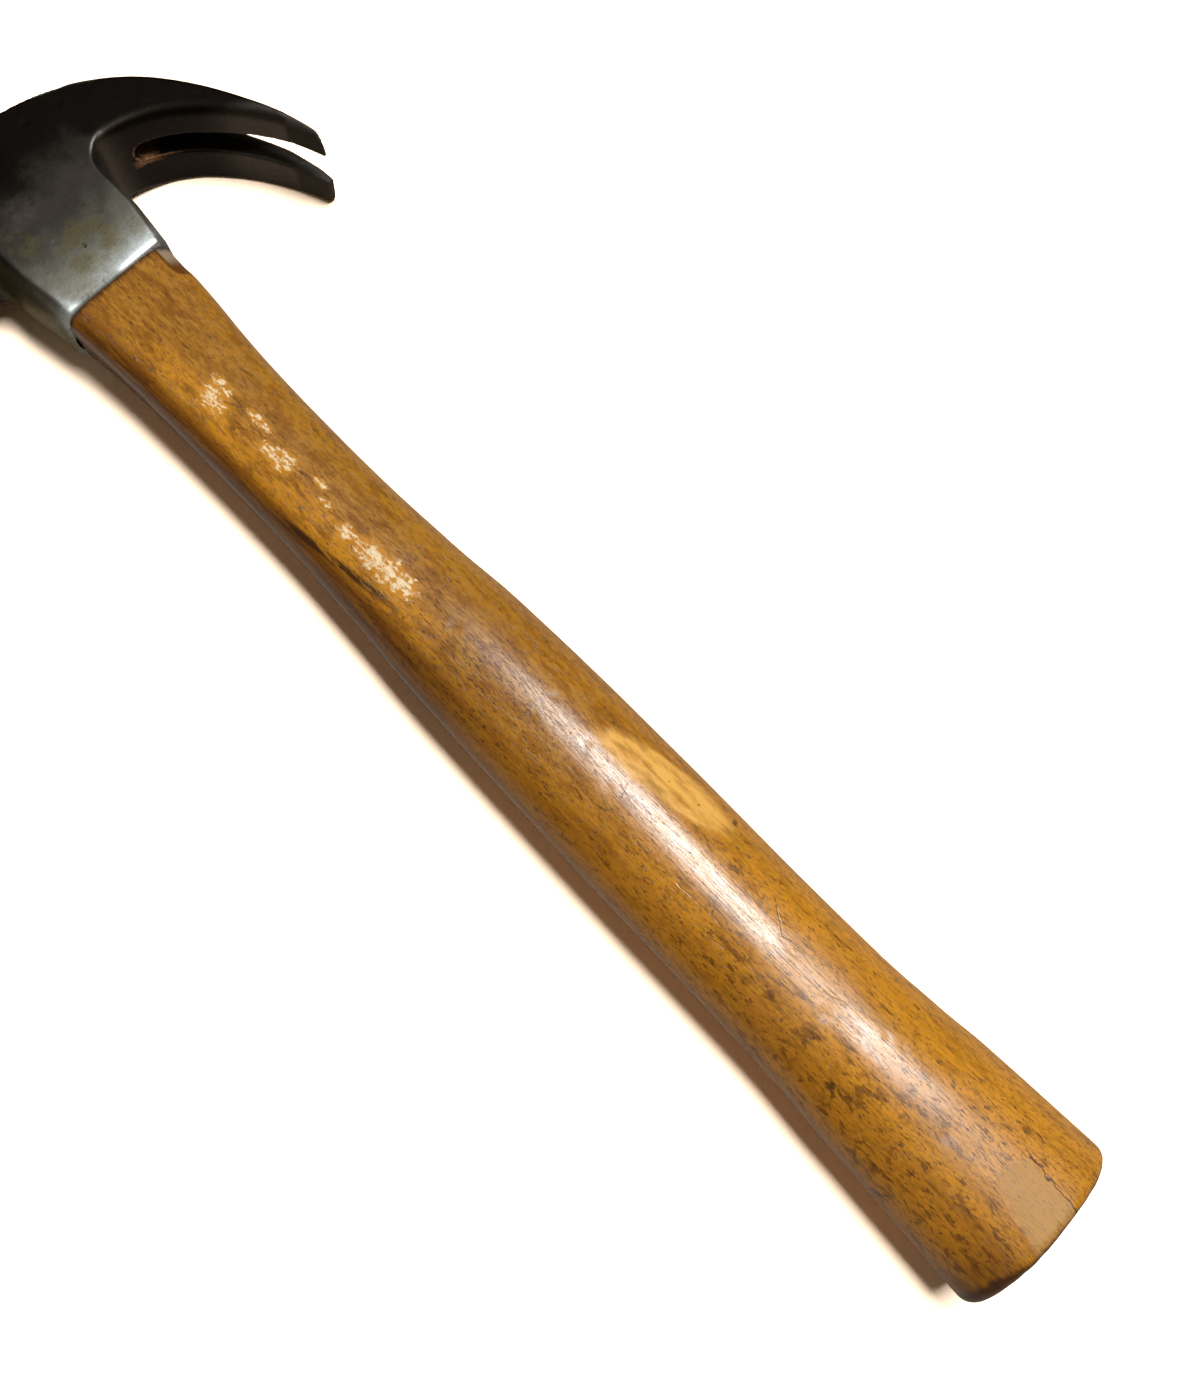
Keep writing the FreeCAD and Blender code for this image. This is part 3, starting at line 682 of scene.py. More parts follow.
def handle_tree():
    """Geometry nodes that sweep an oval along the handle and close it at the shoulder and the butt."""
    group = bpy.data.node_groups.new("handle_sweep", "GeometryNodeTree")
    face = group.interface
    for kind, names in (
        ("Float", ("Length", "Butt Rounding", "Butt Crown", "Butt Turn", "Shoulder Rounding")),
        ("Int", ("Rings", "Sides")), ("Vector", ("Mouth",)), ("Material", ("Material",)),
    ):
        for name in names:
            face.new_socket(name=name, in_out="INPUT", socket_type="NodeSocket" + kind)
    face.new_socket(name="Geometry", in_out="OUTPUT", socket_type="NodeSocketGeometry")
    tree = Tree(group)
    given = tree.node("NodeGroupInput").outputs
    grid = tree.node(
        "GeometryNodeMeshGrid",
        {"Size X": 1.0, "Size Y": 1.0, "Vertices X": given["Rings"], "Vertices Y": given["Sides"]},
    )
    place = tree.node("ShaderNodeSeparateXYZ", {0: tree.node("GeometryNodeInputPosition").outputs[0]})
    along = tree.plus(place.outputs[0], 0.5)
    turn = tree.share(place.outputs[1], math.tau)

    def part(start, end):
        return tree.math("DIVIDE", tree.less(along, start), end - start, clamp=True)

    quarter = math.pi / 2
    opening = part(0.0, START_SHARE)
    shoulder = tree.share(part(START_SHARE, SHOULDER_SHARE), quarter)
    side = part(SHOULDER_SHARE, SIDE_END)
    edge = tree.share(part(SIDE_END, ROUND_END), given["Butt Turn"])
    closing = part(ROUND_END, 1.0)
    butt, crown, corner = (given[name] for name in ("Butt Rounding", "Butt Crown", "Shoulder Rounding"))
    rounded = tree.share(butt, tree.math("SINE", given["Butt Turn"]))
    straight = tree.less(tree.less(tree.less(given["Length"], rounded), crown), corner)
    bulge = tree.less(1.0, tree.math("POWER", tree.less(1.0, closing), 2.0))
    reach = tree.share(corner, tree.less(1.0, tree.math("COSINE", shoulder)))
    reach = tree.scaled(side, straight, reach)
    reach = tree.scaled(tree.math("SINE", edge), butt, reach)
    reach = tree.scaled(bulge, crown, reach)
    shrink = tree.share(corner, tree.less(1.0, tree.math("SINE", shoulder)))
    shrink = tree.scaled(tree.less(1.0, tree.math("COSINE", edge)), butt, shrink)
    scale = tree.share(opening, tree.less(1.0, closing))
    share = tree.math("DIVIDE", reach, given["Length"])
    power = station_curve(tree, share, 4)
    total = 0.0
    directions = []
    for column, direction in ((1, "COSINE"), (2, "SINE")):
        half = tree.share(station_curve(tree, share, column), MM)
        half = tree.less(half, shrink)
        round_part = tree.math(direction, turn)
        flat_part = tree.math("POWER", tree.math("DIVIDE", tree.math("ABSOLUTE", round_part), half), power)
        total = tree.plus(total, flat_part)
        directions.append(round_part)
    radius = tree.math("POWER", total, tree.math("DIVIDE", -1.0, power))
    radius = tree.share(radius, scale)
    drift = tree.share(station_curve(tree, share, 3), MM)
    across = tree.scaled(directions[0], radius, drift)
    upward = tree.share(directions[1], radius)
    moved = tree.node("ShaderNodeCombineXYZ", {0: reach, 1: across, 2: upward})
    moved = tree.vector_math("ADD", moved.outputs[0], given["Mouth"])
    shape = grid.outputs["Mesh"]
    for kind, socket, inputs in (
        ("SetPosition", "Geometry", {"Position": moved}),
        ("MergeByDistance", "Geometry", {"Distance": 0.001 * MM}),
        ("FlipFaces", "Mesh", {}),
        ("RealizeInstances", "Geometry", {}),
        ("SetShadeSmooth", "Geometry", {"Shade Smooth": True}),
        ("SetMaterial", "Geometry", {"Material": given["Material"]}),
    ):
        shape = tree.node("GeometryNode" + kind, {socket: shape, **inputs}).outputs[0]
    tree.node("NodeGroupOutput", {"Geometry": shape})
    return group


def mesh_from_tree(name, group, values):
    """Runs a geometry node tree with the given inputs and returns the plain mesh that it makes."""
    holder = bpy.data.objects.new(name, bpy.data.meshes.new(name))
    bpy.context.scene.collection.objects.link(holder)
    modifier = holder.modifiers.new("sweep", "NODES")
    modifier.node_group = group
    for item in group.interface.items_tree:
        if item.in_out == "INPUT" and item.name in values:
            modifier[item.identifier] = values[item.name]
    holder.update_tag()
    evaluated = holder.evaluated_get(bpy.context.evaluated_depsgraph_get())
    mesh = bpy.data.meshes.new_from_object(evaluated)
    mesh.name = name
    bpy.data.objects.remove(holder)
    return mesh


# Marks on the handle, in millimetres. A scuff is its reach, side, half length, half width and strength, and
# the glow has a lean in place of a strength. The chip is its length, the side where it starts and its depth.

SCUFFS = (
    (36, -2.4, 3.6, 2.6, 1), (34.5, 1.2, 2.5, 1.2, 0.7), (46.5, 1.4, 3.6, 0.9, 0.8),
    (53, -1.4, 3, 1.2, 0.8), (57.5, -0.8, 2.6, 2.3, 0.85), (66, 1.4, 2.4, 0.8, 0.7),
    (70.5, -0.8, 2.4, 0.8, 0.55), (77.8, -2, 1.9, 1.4, 1.1), (84.5, -1.6, 3.6, 2.4, 0.85),
    (91.5, -1.6, 4.6, 2.8, 0.95), (96.5, -1.4, 2.2, 1.9, 0.8),
)
GLOW = (162.5, 8.8, 18.5, 4.5, 0.13)
CHIP = (9.5, 10.4, 0.4)
# Dents along the grip and round the butt's edge: from, to, how many, their radii and their depths
GRIP_DENTS = (
    (12, 278, 150, (0.9, 2.4), (0.02, 0.1)),
    (274, 280, 36, (0.9, 2.2), (0.04, 0.16)),
)


def ellipse(reach, side, mark):
    """0 at the middle of an oval mark and 1 at its edge. The mark may lean."""
    middle, across, long, wide, *lean = mark
    run = reach - middle
    drift = side - across - run * (lean[0] if lean else 0)
    return np.hypot(run / long, drift / wide)


def fade(value, low, high):
    """Falls smoothly from 1 to 0 while the value runs from low to high."""
    share = np.clip((value - low) / (high - low), 0, 1)
    return 1 - share * share * (3 - 2 * share)


def build_handle_mesh(material):
    """Sweeps the grip, then gives it its waves, dents and chip, and keeps its marks for the material."""
    sizes = bpy.context.scene.hammer_handle
    names = ("butt_rounding", "butt_crown", "butt_turn", "shoulder_rounding", "rings")
    values = {name.replace("_", " ").title(): getattr(sizes, name) for name in names}
    values.update(Length=sizes.length - sizes.butt_wear, Sides=sizes.sides + 1)
    values.update(Mouth=MOUTH, Material=material)
    mesh = mesh_from_tree("handle_grip", handle_tree(), values)
    points = (coordinates(mesh) - np.array(MOUTH)) / MM
    normals = point_normals(mesh)
    reach, side, height = points.T
    lumps = waves(points / (4.5, 1, 1), 8.0, 11) * 0.11 + waves(points / (4, 1, 1), 2.6, 12) * 0.035
    outer = np.clip(reach / 3, 0, 1)
    moved = points - normals * (np.maximum(lumps + 0.03, 0) * outer)[:, None]
    chooser = random.Random(19)
    for low, high, number, radii, depths in GRIP_DENTS:
        choices = np.nonzero((reach > low) & (reach < high))[0]
        moved = dents(moved, points, normals, chooser, choices, number, radii, depths)
    slant = np.clip((side + 6) / 12, 0, 1) * np.clip((reach - 262) / 10, 0, 1)
    moved[:, 0] -= sizes.butt_slant / MM * slant
    # The chip at the shoulder is a hollow that splintered out of the corner on the claw's side.
    long, start, depth = CHIP
    hollow = fade(reach / long, 0.55, 1.0) * fade(start - side, -2.6, -0.4) * (height > 1.5)
    hollow *= np.clip((height - 1.5) / 2, 0, 1)
    moved -= np.array((0, 0.75, 0.55)) * (hollow * depth)[:, None]
    upper = np.clip(height / 3, 0, 1)
    scuff = sum(mark[4] * np.exp(-ellipse(reach, side, mark[:4]) ** 2) for mark in SCUFFS)
    store(mesh, "scuff", scuff * upper)
    store(mesh, "glow", fade(ellipse(reach, side, GLOW), 0.5, 1.25) * upper)
    store(mesh, "chip", hollow)
    # The dull patch lies between the crack, the butt's edge and a slanting line on the poll's side.
    past_line = (side + 1.6 + 0.33 * (reach - 260.5)) / 2.8
    past_start = (reach - 258.5 - 0.4 * np.maximum(side, 0)) / 2.4
    rubbed = np.minimum(np.minimum(past_line, past_start), (6.9 - side) / 0.6)
    store(mesh, "rubbed", np.clip(rubbed, 0, 1) * upper)
    set_coordinates(mesh, moved * MM + np.array(MOUTH))
    shade_smooth(mesh)
    return mesh


# Materials

def stroke(tree, reach, side, start, end, width):
    """1 along a scratch between two places, and 0 beside it."""
    run = (end[0] - start[0], end[1] - start[1])
    length = math.hypot(*run)
    run = (run[0] / length, run[1] / length)
    from_reach = tree.less(reach, start[0])
    from_side = tree.less(side, start[1])
    along = tree.scaled(from_side, run[1], tree.share(from_reach, run[0]))
    across = tree.less(tree.share(from_reach, run[1]), tree.share(from_side, run[0]))
    past = tree.most(tree.less(along, length), tree.share(along, -1.0))
    past = tree.most(past, 0.0)
    away = tree.math("POWER", tree.scaled(past, past, tree.share(across, across)), 0.5)
    return tree.ramp(away, width * 0.4, width, 1.0, 0.0)


# A scratch is the reach and side of its two ends, and its width. A dot is its reach, side and radius. The
# crack is a line of places.
SCRATCHES = (
    (196, 7, 201, 3.4, 0.22), (201, 3.4, 206.5, 4.4, 0.18), (158, 2.8, 159, -0.2, 0.2),
    (157.2, 1.3, 160.6, 0.6, 0.18), (190.2, -7, 194.6, -6.6, 0.2), (214, 1.6, 219, 2.9, 0.18),
    (179, -4.2, 184, -3.9, 0.18), (38, -1.1, 42, 0.9, 0.42), (34, 6.4, 37.2, 7.3, 0.4),
    (59.6, -0.2, 64.2, 0.9, 0.34), (46, -0.6, 50.5, -0.2, 0.3), (72, -1.9, 76, -0.8, 0.3),
)
DOTS = ((178.8, 13.4, 0.8), (227.7, -10.4, 1.2), (171.0, 10.4, 0.4), (163.5, 9.4, 0.35))
CRACK = ((261.5, 8.1), (264.5, 7.3), (269.0, 6.8), (274.0, 6.6), (279.5, 5.6))


def wood_material(name, colours, marked):
    """Varnished hickory: fine dark pores along the grain, amber by the socket and golden at the butt."""
    material, tree = new_material(name)
    ramp, cloud, coat = tree.ramp, tree.cloud, tree.coat
    share, scaled, most = tree.share, tree.scaled, tree.most
    place, (reach, side, height) = tree.millimetres()
    bend = cloud(place, (90, 16, 16), 2)
    bend = scaled(bend, 4, -2)
    bent = tree.node("ShaderNodeCombineXYZ", {
        0: reach, 1: tree.plus(side, bend), 2: tree.plus(height, bend),
    }).outputs[0]

    def area(near, full, far, gone, low, low_full, high_full, high):
        """1 over a soft-edged stretch of the handle, given by reach and by side."""
        along = share(ramp(reach, near, full), ramp(reach, far, gone, 1, 0))
        across = share(ramp(side, low, low_full), ramp(side, high_full, high, 1, 0))
        return share(along, across)

    grip = ramp(reach, 110, 215)
    broad = cloud(place, (38, 7, 7), 3, 0.5)
    mottle = cloud(place, (6.5, 1.8, 1.8), 4, 0.62)
    patches = cloud(place, (10, 4.2, 4.2), 4, 0.62)
    grainy = cloud(place, (1.7, 0.55, 0.55), 3, 0.65)
    fibre = cloud(bent, (24, 0.36, 0.36), 2, 0.6)
    streak = cloud(bent, (16, 1, 1), 3, 0.65)
    short_pore = cloud(bent, (1.7, 0.22, 0.22), 1, 0.5)
    long_pore = cloud(bent, (11, 0.17, 0.17), 1, 0.5)
    stain = cloud(bent, (3.4, 1.15, 1.15), 4, 0.62, 0.5)
    # Ground colour: amber with yellower and redder patches, painted light along the claw's side by the
    # socket, a yellow band, and gold towards the butt
    painted_light_claw_side = share(area(8, 25, 100, 130, 5, 8.5, 20, 21), 0.5)
    light = most(share(ramp(mottle, 0.4, 0.66), 0.6), painted_light_claw_side)
    tree.painted = tree.mix(light, colours.amber, colours.honey)
    coat(share(ramp(patches, 0.5, 0.34), 0.7), colours.russet)
    coat(share(grip, ramp(broad, 0.28, 0.58, 0.5, 1)), colours.golden)
    band = area(4, 30, 100, 116, -9.4, -7.8, -3.5, 0.5)
    coat(share(band, ramp(mottle, 0.4, 0.6, 0.3, 0.95)), colours.golden)
    coat(share(ramp(grainy, 0.54, 0.34), 0.42), colours.umber)
    coat(share(ramp(grainy, 0.58, 0.72), 0.6), colours.golden)
    coat(share(ramp(fibre, 0.48, 0.72), 0.26), colours.umber)
    coat(share(ramp(mottle, 0.5, 0.34), 0.3), colours.umber)
    # Painted shade: russet along the poll's side of the grip, which faces away from the lamp, darkest and
    # streaked at the waist
    poll_flank_shade = share(ramp(side, -6.5, -9.6), ramp(reach, 100, 135, 0.85, 0.45))
    coat(poll_flank_shade, colours.russet)
    # Painted shade: dark wood streaked along the poll's side from the socket to the waist
    poll_flank_dark_shade = share(area(-20, 10, 104, 140, -30, -29, -10.8, -7.6), ramp(streak, 0.36, 0.6, 0.25, 0.9))
    coat(poll_flank_dark_shade, colours.umber)
    slant = scaled(reach, -0.115, side)
    slick = share(ramp(slant, -18.5, -17.5), ramp(slant, -16.9, -16.2, 1, 0))
    slick = share(slick, share(ramp(reach, 62, 70), ramp(reach, 90, 102, 1, 0)))
    coat(share(slick, ramp(scaled(grainy, 0.5, streak), 0.6, 0.75), 0.9), colours.pores)
    # Crisp dark spots, mostly towards the butt
    crowd = share(grip, ramp(side, 13, -8, 0.45, 1))
    crowd = most(crowd, share(poll_flank_dark_shade, 0.7))
    blotch = scaled(crowd, 0.12, cloud(bent, (6.5, 2.2, 2.2), 4, 0.62, 0.6))
    coat(share(ramp(blotch, 0.66, 0.76), 0.62), colours.umber)
    spot = ramp(scaled(crowd, 0.085, stain), 0.66, 0.7)
    coat(share(spot, 0.72), colours.umber)
    grimy = share(ramp(side, -5, -13), ramp(reach, 262, 275))
    coat(share(grimy, ramp(mottle, 0.35, 0.6, 0.35, 0.9)), colours.umber)
    # Pores: short dashes, crowded at the waist, and long thin lines along the middle
    dashes = most(area(72, 92, 128, 165, -16, -10, 0, 9), 0.35)
    limit = scaled(dashes, 0.075, short_pore)
    pore = ramp(scaled(ramp(broad, 0.4, 0.7), 0.03, limit), 0.685, 0.72)
    middle = area(60, 80, 200, 240, -7, -4, 5, 8)
    lines = ramp(scaled(middle, 0.075, long_pore), 0.68, 0.73)
    pore = most(share(pore, 0.95), share(lines, 0.65))
    coat(share(pore, 0.85), colours.pores)
    rough = scaled(mottle, 0.22, 0.155)
    handled = most(area(198, 207, 214, 226, -20, -19, 19, 20), ramp(reach, 236, 252))
    rough = scaled(handled, 0.11, rough)
    raised = scaled(pore, -0.6, share(fibre, 0.35))
    raised = scaled(grainy, 0.35, raised)
    if marked:
        # Flaked varnish, the bright patch, the dull patch, the chip, the crack and the scratches
        scuff = tree.attribute("scuff")
        flake = cloud(bent, (1.7, 0.85, 0.85), 3, 0.72)
        flake = ramp(scaled(scuff, 0.21, flake), 0.6, 0.71)
        flake = share(flake, ramp(scuff, 0.03, 0.25))
        halo = share(ramp(scuff, 0.01, 0.5), ramp(grainy, 0.35, 0.6, 0.5, 0.9))
        coat(halo, colours.golden)
        glow = scaled(patches, 0.9, tree.attribute("glow"))
        glow = share(ramp(glow, 0.62, 1.2), ramp(mottle, 0.34, 0.62, 0.35, 0.98))
        coat(glow, colours.orange)
        coat(share(flake, ramp(grainy, 0.38, 0.58, 0.45, 0.92)), colours.bare)
        rubbed = scaled(patches, 0.9, tree.attribute("rubbed"))
        rubbed = share(ramp(rubbed, 0.65, 1.25), ramp(grainy, 0.36, 0.56, 0.35, 0.95))
        coat(rubbed, colours.tan)
        rough = scaled(rubbed, 0.3, scaled(flake, 0.3, rough))
        wobble = cloud(place, (2.2, 2.2, 2.2), 2)
        wavy = tree.plus(side, scaled(wobble, 2.4, -1.2))
        mark = 0
        for start, end in zip(CRACK, CRACK[1:]):
            mark = most(mark, stroke(tree, reach, wavy, start, end, 0.24))
        wavy = tree.plus(side, scaled(wobble, 1.2, -0.6))
        for *ends, width in SCRATCHES:
            mark = most(mark, share(stroke(tree, reach, wavy, ends[:2], ends[2:], width), 0.55))
        for centre, across, radius in DOTS:
            flat = tree.node("ShaderNodeCombineXYZ", {0: reach, 1: side}).outputs[0]
            away = scaled(grainy, 0.5, tree.vector_math("DISTANCE", flat, (centre, across, 0)))
            mark = most(mark, ramp(away, radius * 0.6, radius + 0.3, 0.9, 0))
        mark = share(mark, ramp(height, 0, 2))
        coat(share(mark, 0.85), colours.pores)
        raised = scaled(mark, -1.2, raised)
        chip = scaled(grainy, 0.3, tree.attribute("chip"))
        coat(share(ramp(chip, 0.17, 0.3), 0.85), colours.umber)
        bared = share(ramp(chip, 0.5, 0.75), ramp(reach, 6.5, 3))
        coat(bared, colours.splinter)
        # Painted shade round the butt's rounded edge, which faces away from the lamp, and in the joint with
        # the socket
        near_rim = tree.plus(reach, scaled(mottle, 1.6, ramp(side, -6, -15, -0.8, 1.4)))
        butt_edge_shade = share(ramp(near_rim, 275, 276.4), ramp(reach, 277, 278.4, 1, 0.4))
        joint_shade = ramp(scaled(mottle, 1.6, reach), 2.6, 1)
        coat(share(most(butt_edge_shade, joint_shade), 0.85), colours.pores)
    bump = tree.node("ShaderNodeBump", {"Strength": 0.42, "Distance": 0.1 * MM, "Height": raised})
    tree.surface(base_color=tree.painted, roughness=rough, normal=bump.outputs[0], ior=1.6)
    return material


def steel_material(name, colours):
    """Forged steel: near black over the crown, grey towards the mouth, bright along its edges, with painted
    highlights.
    """
    material, tree = new_material(name)
    ramp, cloud, coat = tree.ramp, tree.cloud, tree.coat
    share, scaled, most = tree.share, tree.scaled, tree.most
    place, (reach, side, height) = tree.millimetres()

    def spot(centre, across, long, wide):
        """1 at the middle of a soft oval on the cheeks."""
        run = share(tree.less(reach, centre), 1 / long)
        drift = share(tree.less(side, across), 1 / wide)
        away = scaled(run, run, share(drift, drift))
        return ramp(away, 0.2, 1, 1, 0)

    wear = tree.attribute("wear")
    corner = tree.attribute("corner")
    large = cloud(place, 13, 3, 0.6)
    cloudy = cloud(place, 4, 4, 0.65)
    fine = cloud(place, 1.1, 4, 0.68)
    pits = cloud(place, 0.7, 2, 0.5)
    # Darker over the crown and upper cheeks, growing grey and pale towards the mouth
    down = scaled(tree.less(large, 0.5), 14, reach)
    down = scaled(tree.less(cloudy, 0.5), 9, down)
    down = tree.plus(down, share(ramp(side, 7, -3), ramp(reach, -17, -27, 0, -7)))
    thin = ramp(down, -38, -24)
    tree.painted = tree.mix(thin, colours.patina, colours.brown_steel)
    coat(ramp(down, -22, -3), colours.worn_steel)
    pale = scaled(ramp(side, -6, 13), 3, tree.plus(down, 2))
    pale = scaled(ramp(side, -7, -11), 3, pale)
    coat(share(ramp(pale, -3, 4), 0.85), colours.pale_steel)
    # The claw and the neck stay dark, the neck's black patina deepened as painted shade. The claw's inner
    # side is browner than its cheeks.
    inner = ramp(scaled(side, -0.62, reach), -44, -40)
    browner = tree.mix(share(inner, 0.8), colours.patina, colours.brown_steel)
    coat(ramp(side, 15.5, 19.5), browner)
    coat(share(ramp(side, -13.6, -15.4), 0.8), colours.stain)
    # The neck: black patina, deepened here as painted shade
    coat(ramp(side, -16.5, -20), colours.patina)
    # Stains, pits, the dull stretch of the mouth's edge, and painted highlights along the mouth's edge
    patch = most(spot(-10, 1.5, 8.5, 9), share(spot(-19, -9, 6, 5), 0.6))
    stained = share(ramp(cloudy, 0.4, 0.6), patch)
    coat(share(stained, 0.75), colours.stain)
    coat(share(ramp(fine, 0.5, 0.72), 0.42), colours.patina)
    pit = ramp(scaled(fine, 2.5, spot(-10.5, 0.9, 1.3, 1)), 1.95, 2.4)
    coat(share(pit, 0.8), colours.patina)
    dull = share(ramp(side, 6, 1.5), ramp(side, -11.5, -8), ramp(reach, -2.5, -1))
    dull = most(dull, share(ramp(side, 12.9, 13.6), ramp(reach, -3, -1.5, 0, 1.5)))
    coat(share(dull, 0.5), colours.brown_steel)
    # Painted highlight along the mouth's rounded edge on the claw's side, and a faint one at its corner on
    # the poll's side
    painted_glare = share(ramp(side, 1, 7), ramp(side, 13, 12.2), ramp(scaled(cloudy, 1.6, reach), -2.6, -0.8))
    coat(share(painted_glare, 0.8), colours.bright_steel)
    painted_glare = share(ramp(side, -8.5, -11), ramp(side, -14.6, -13.4), ramp(reach, -6.5, -2))
    coat(share(painted_glare, 0.1), colours.bright_steel)
    # The striking face is worn bare
    struck = share(ramp(side, -67.6, -68.5), ramp(cloudy, 0.3, 0.6, 0.45, 0.9))
    coat(struck, colours.worn_steel)
    # Bright edges: polished wear along them, with a painted highlight added along the claw's ridge
    ridge = share(ramp(side, 14, 18), ramp(side, 36, 26))
    level = tree.math("ABSOLUTE", height)
    lip = share(ramp(side, 22, 24.5), ramp(side, 42, 33), ramp(level, 6.5, 5))
    wear = scaled(wear, scaled(ridge, 1.6, 1), share(fine, 0.3))
    worn = ramp(wear, 0.4, 1.1)
    edge = share(ramp(wear, 0.4, 0.85), ramp(side, 16, 13.5, 0.05, 0.8))
    edge = most(edge, share(worn, ridge, 0.42))
    edge = share(edge, tree.less(1, lip), ramp(side, -11, -14, 1, 0.25), tree.less(1, dull))
    coat(edge, colours.bright_steel)
    rusty = share(ramp(large, 0.6, 0.8), ramp(pits, 0.55, 0.72))
    rusty = most(share(rusty, 0.4), share(ramp(corner, 0.12, 0.5), 0.8))
    rough_side = scaled(cloudy, 8, side)
    rough_height = scaled(fine, 2.6, height)
    root = share(ramp(rough_side, 37, 31), ramp(rough_side, 27.5, 30.5))
    root = share(root, share(ramp(rough_height, -0.4, -1.4), ramp(rough_height, -3.4, -2.2)))
    root = share(root, ramp(fine, 0.38, 0.56, 0.45, 1))
    rusty = most(rusty, most(root, share(lip, worn, ramp(cloudy, 0.4, 0.55))))
    coat(rusty, colours.rust)
    metal = scaled(rusty, -0.7, 0.95)
    rough = scaled(fine, 0.2, 0.34)
    rough = scaled(most(rusty, dull), 0.25, rough)
    soft = share(ramp(side, -9.5, -11.5), ramp(reach, -4.5, -2))
    rough = scaled(soft, 0.22, rough)
    raised = tree.plus(share(fine, 0.6), share(pits, 0.4))
    raised = scaled(pit, -0.8, raised)
    bump = tree.node("ShaderNodeBump", {"Strength": 0.25, "Distance": 0.15 * MM, "Height": raised})
    tree.surface(base_color=tree.painted, metallic=metal, roughness=rough, normal=bump.outputs[0])
    return material


def floor_material():
    """A white floor. The camera sees its lit part as pure white, its shade as warm, and nothing far away."""
    material, tree = new_material("white_floor")
    path = tree.node("ShaderNodeLightPath").outputs
    colour = tree.mix(path["Is Glossy Ray"], (0.82, 0.82, 0.82), (0.42, 0.35, 0.28))
    away = tree.vector_math("LENGTH", tree.node("ShaderNodeTexCoord").outputs["Object"])
    bright = tree.mix(tree.ramp(away, 0.22, 0.36), (2.3, 1.86, 1.42), (4.0, 4.0, 4.0))
    colour = tree.mix(path["Is Camera Ray"], colour, bright)
    white = tree.node("ShaderNodeBsdfDiffuse", {"Color": colour})
    far = tree.ramp(away, 0.42, 0.6)
    clear = tree.node("ShaderNodeBsdfTransparent")
    surface = tree.node("ShaderNodeMixShader", {
        "Fac": tree.share(far, path["Is Camera Ray"]), 1: white.outputs[0], 2: clear.outputs[0],
    })
    tree.node("ShaderNodeOutputMaterial", {"Surface": surface.outputs[0]})
    return material


class HAMMER_OT_forge_head(bpy.types.Operator):
    """Make the forged head with its claw, neck and poll"""

    bl_idname = "hammer.forge_head"
    bl_label = "Forge the head"

    def execute(self, context):
        material = steel_material("forged_steel_worn", context.scene.hammer_finishes)
        new_piece("head_forged", build_head_mesh(), material, "hammer_head")
        return {"FINISHED"}


class HAMMER_OT_carve_handle(bpy.types.Operator):
    """Make the wooden handle: the grip, and the tenon that fills the eye"""

    bl_idname = "hammer.carve_handle"
    bl_label = "Carve the handle"

    def execute(self, context):
        colours = context.scene.hammer_finishes
        varnished = wood_material("hickory_varnished", colours, True)
        new_piece("handle_grip", build_handle_mesh(varnished), varnished, "handle")
        raw = wood_material("hickory_end_grain", colours, False)
        new_piece("handle_tenon", tenon_mesh(), raw, "handle")
        return {"FINISHED"}


def merged_copy(node):
    """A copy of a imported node's mesh, with its loose triangles joined."""
    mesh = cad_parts[node].data.copy()
    work = bmesh.new()
    work.from_mesh(mesh)
    bmesh.ops.remove_doubles(work, verts=work.verts, dist=0.002 * MM)
    return work, mesh


def tenon_mesh():
    """The handle's tenon, cut off level with the socket's mouth."""
    work, mesh = merged_copy("handle")
    everything = [*work.verts, *work.edges, *work.faces]
    bmesh.ops.bisect_plane(
        work, geom=everything, plane_co=MOUTH, plane_no=(1, 0, 0), clear_outer=True, dist=1e-7
    )
    cut = [edge for edge in work.edges if edge.is_boundary]
    bmesh.ops.holes_fill(work, edges=cut, sides=0)
    work.to_mesh(mesh)
    work.free()
    mesh.name = "handle_tenon"
    return mesh


class HAMMER_OT_drive_wedges(bpy.types.Operator):
    """Finish the wooden wedge and the two steel wedges in the top of the eye"""

    bl_idname = "hammer.drive_wedges"
    bl_label = "Drive the wedges"

    def execute(self, context):
        colours = context.scene.hammer_finishes
        wood = wood_material("wedge_wood_dark", colours, False)
        steel = steel_material("wedge_steel_dull", colours)
        for node, material in (
            ("wooden_wedge", wood), ("steel_wedge_face_side", steel), ("steel_wedge_claw_side", steel),
        ):
            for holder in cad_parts[node].material_slots:
                holder.material = material
        return {"FINISHED"}


CAMERA_PLACE = (0.06139, -0.02584, 0.29009)
CAMERA_RIGHT = (0.69844, 0.71544, 0.01786)
CAMERA_UP = (-0.70229, 0.68037, 0.20946)
CAMERA_BACK = (0.13770, -0.15884, 0.97765)
CAMERA_LENS = 34.24
LAMP_PLACE = (0.06, 0.27, 1.03)
LAMP_TARGET = (0.02, 0.0, 0.01)
LAMP_SIZE = (0.46, 0.24)
OVERHEAD_TINT = (1.0, 0.87, 0.7)
HORIZON_COLOUR = (0.03, 0.014, 0.005)


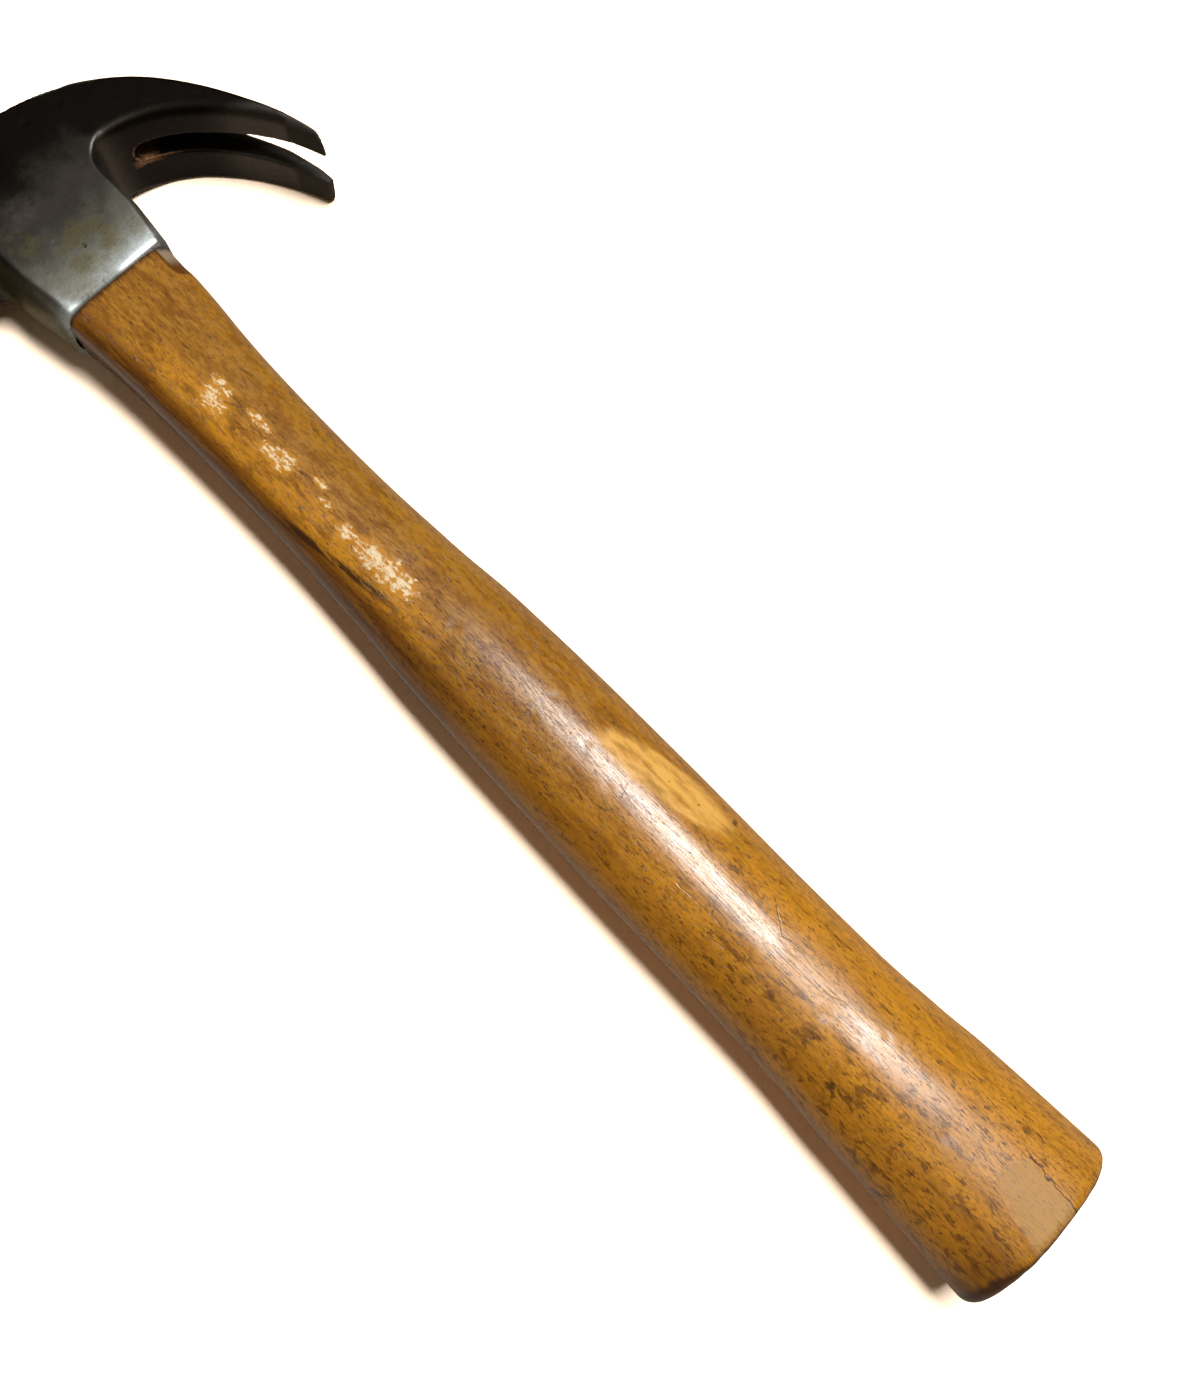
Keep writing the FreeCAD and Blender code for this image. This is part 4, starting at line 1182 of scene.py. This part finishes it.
class HAMMER_OT_set_stage(bpy.types.Operator):
    """Lay the floor, hang the lamps and place the camera"""

    bl_idname = "hammer.set_stage"
    bl_label = "Set the stage"

    def execute(self, context):
        sizes = context.scene.hammer_stage
        half = sizes.floor_size / 2
        mesh = bpy.data.meshes.new("floor")
        corners = [(-half, -half, 0), (half, -half, 0), (half, half, 0), (-half, half, 0)]
        mesh.from_pydata(corners, [], [(0, 1, 2, 3)])
        floor = bpy.data.objects.new("floor", mesh)
        context.scene.collection.objects.link(floor)
        mesh.materials.append(floor_material())
        hang_lamp("key_lamp", LAMP_PLACE, LAMP_TARGET, LAMP_SIZE, sizes.key_power)
        world = bpy.data.worlds.new("soft_studio")
        context.scene.world = world
        world.use_nodes = True
        world.node_tree.nodes.clear()
        tree = Tree(world.node_tree)
        seen = tree.node("ShaderNodeLightPath").outputs["Is Camera Ray"]
        direction = tree.node("ShaderNodeTexCoord").outputs["Generated"]
        rise = tree.ramp(tree.node("ShaderNodeSeparateXYZ", {0: direction}).outputs[2], 0.3, 0.85)
        overhead = [level * sizes.world_light for level in OVERHEAD_TINT]
        colour = tree.mix(seen, tree.mix(rise, HORIZON_COLOUR, overhead), (1.0, 1.0, 1.0))
        light = tree.node("ShaderNodeBackground", {"Color": colour})
        tree.node("ShaderNodeOutputWorld", {"Surface": light.outputs[0]})
        camera = bpy.data.objects.new("camera", bpy.data.cameras.new("camera"))
        camera.data.lens = CAMERA_LENS
        camera.data.clip_start = 0.01
        turn = Matrix((CAMERA_RIGHT, CAMERA_UP, CAMERA_BACK)).transposed()
        camera.matrix_world = Matrix.Translation(CAMERA_PLACE) @ turn.to_4x4()
        context.scene.collection.objects.link(camera)
        context.scene.camera = camera
        context.scene.view_settings.view_transform = "Standard"
        return {"FINISHED"}


def hang_lamp(name, place, target, size, power):
    """A rectangular area lamp that faces a target."""
    lamp = bpy.data.lights.new(name, "AREA")
    lamp.shape = "RECTANGLE"
    lamp.size, lamp.size_y = size
    lamp.energy = power
    holder = bpy.data.objects.new(name, lamp)
    bpy.context.scene.collection.objects.link(holder)
    holder.location = place
    holder.rotation_euler = (Vector(target) - Vector(place)).to_track_quat("-Z", "Y").to_euler()
    return holder


class HAMMER_PT_parts(bpy.types.Panel):
    """Makes the hammer's pieces one by one"""

    bl_label = "Claw hammer"
    bl_space_type = "VIEW_3D"
    bl_region_type = "UI"
    bl_category = "Hammer"

    def draw(self, context):
        for operator in OPERATORS:
            self.layout.operator(operator.bl_idname)


OPERATORS = (HAMMER_OT_forge_head, HAMMER_OT_carve_handle, HAMMER_OT_drive_wedges, HAMMER_OT_set_stage)
GROUPS = {
    "hammer_head": HeadSizes,
    "hammer_handle": HandleSizes,
    "hammer_finishes": Finishes,
    "hammer_stage": StageSizes,
}


def register():
    for name, group in GROUPS.items():
        bpy.utils.register_class(group)
        setattr(bpy.types.Scene, name, PointerProperty(type=group))
    for kind in (*OPERATORS, HAMMER_PT_parts):
        bpy.utils.register_class(kind)


def unregister():
    for kind in reversed((*OPERATORS, HAMMER_PT_parts)):
        bpy.utils.unregister_class(kind)
    for name, group in reversed(GROUPS.items()):
        delattr(bpy.types.Scene, name)
        bpy.utils.unregister_class(group)


def main():
    register()
    for operator in OPERATORS:
        group, name = operator.bl_idname.split(".")
        getattr(getattr(bpy.ops, group), name)()


if __name__ == "__main__":
    main()
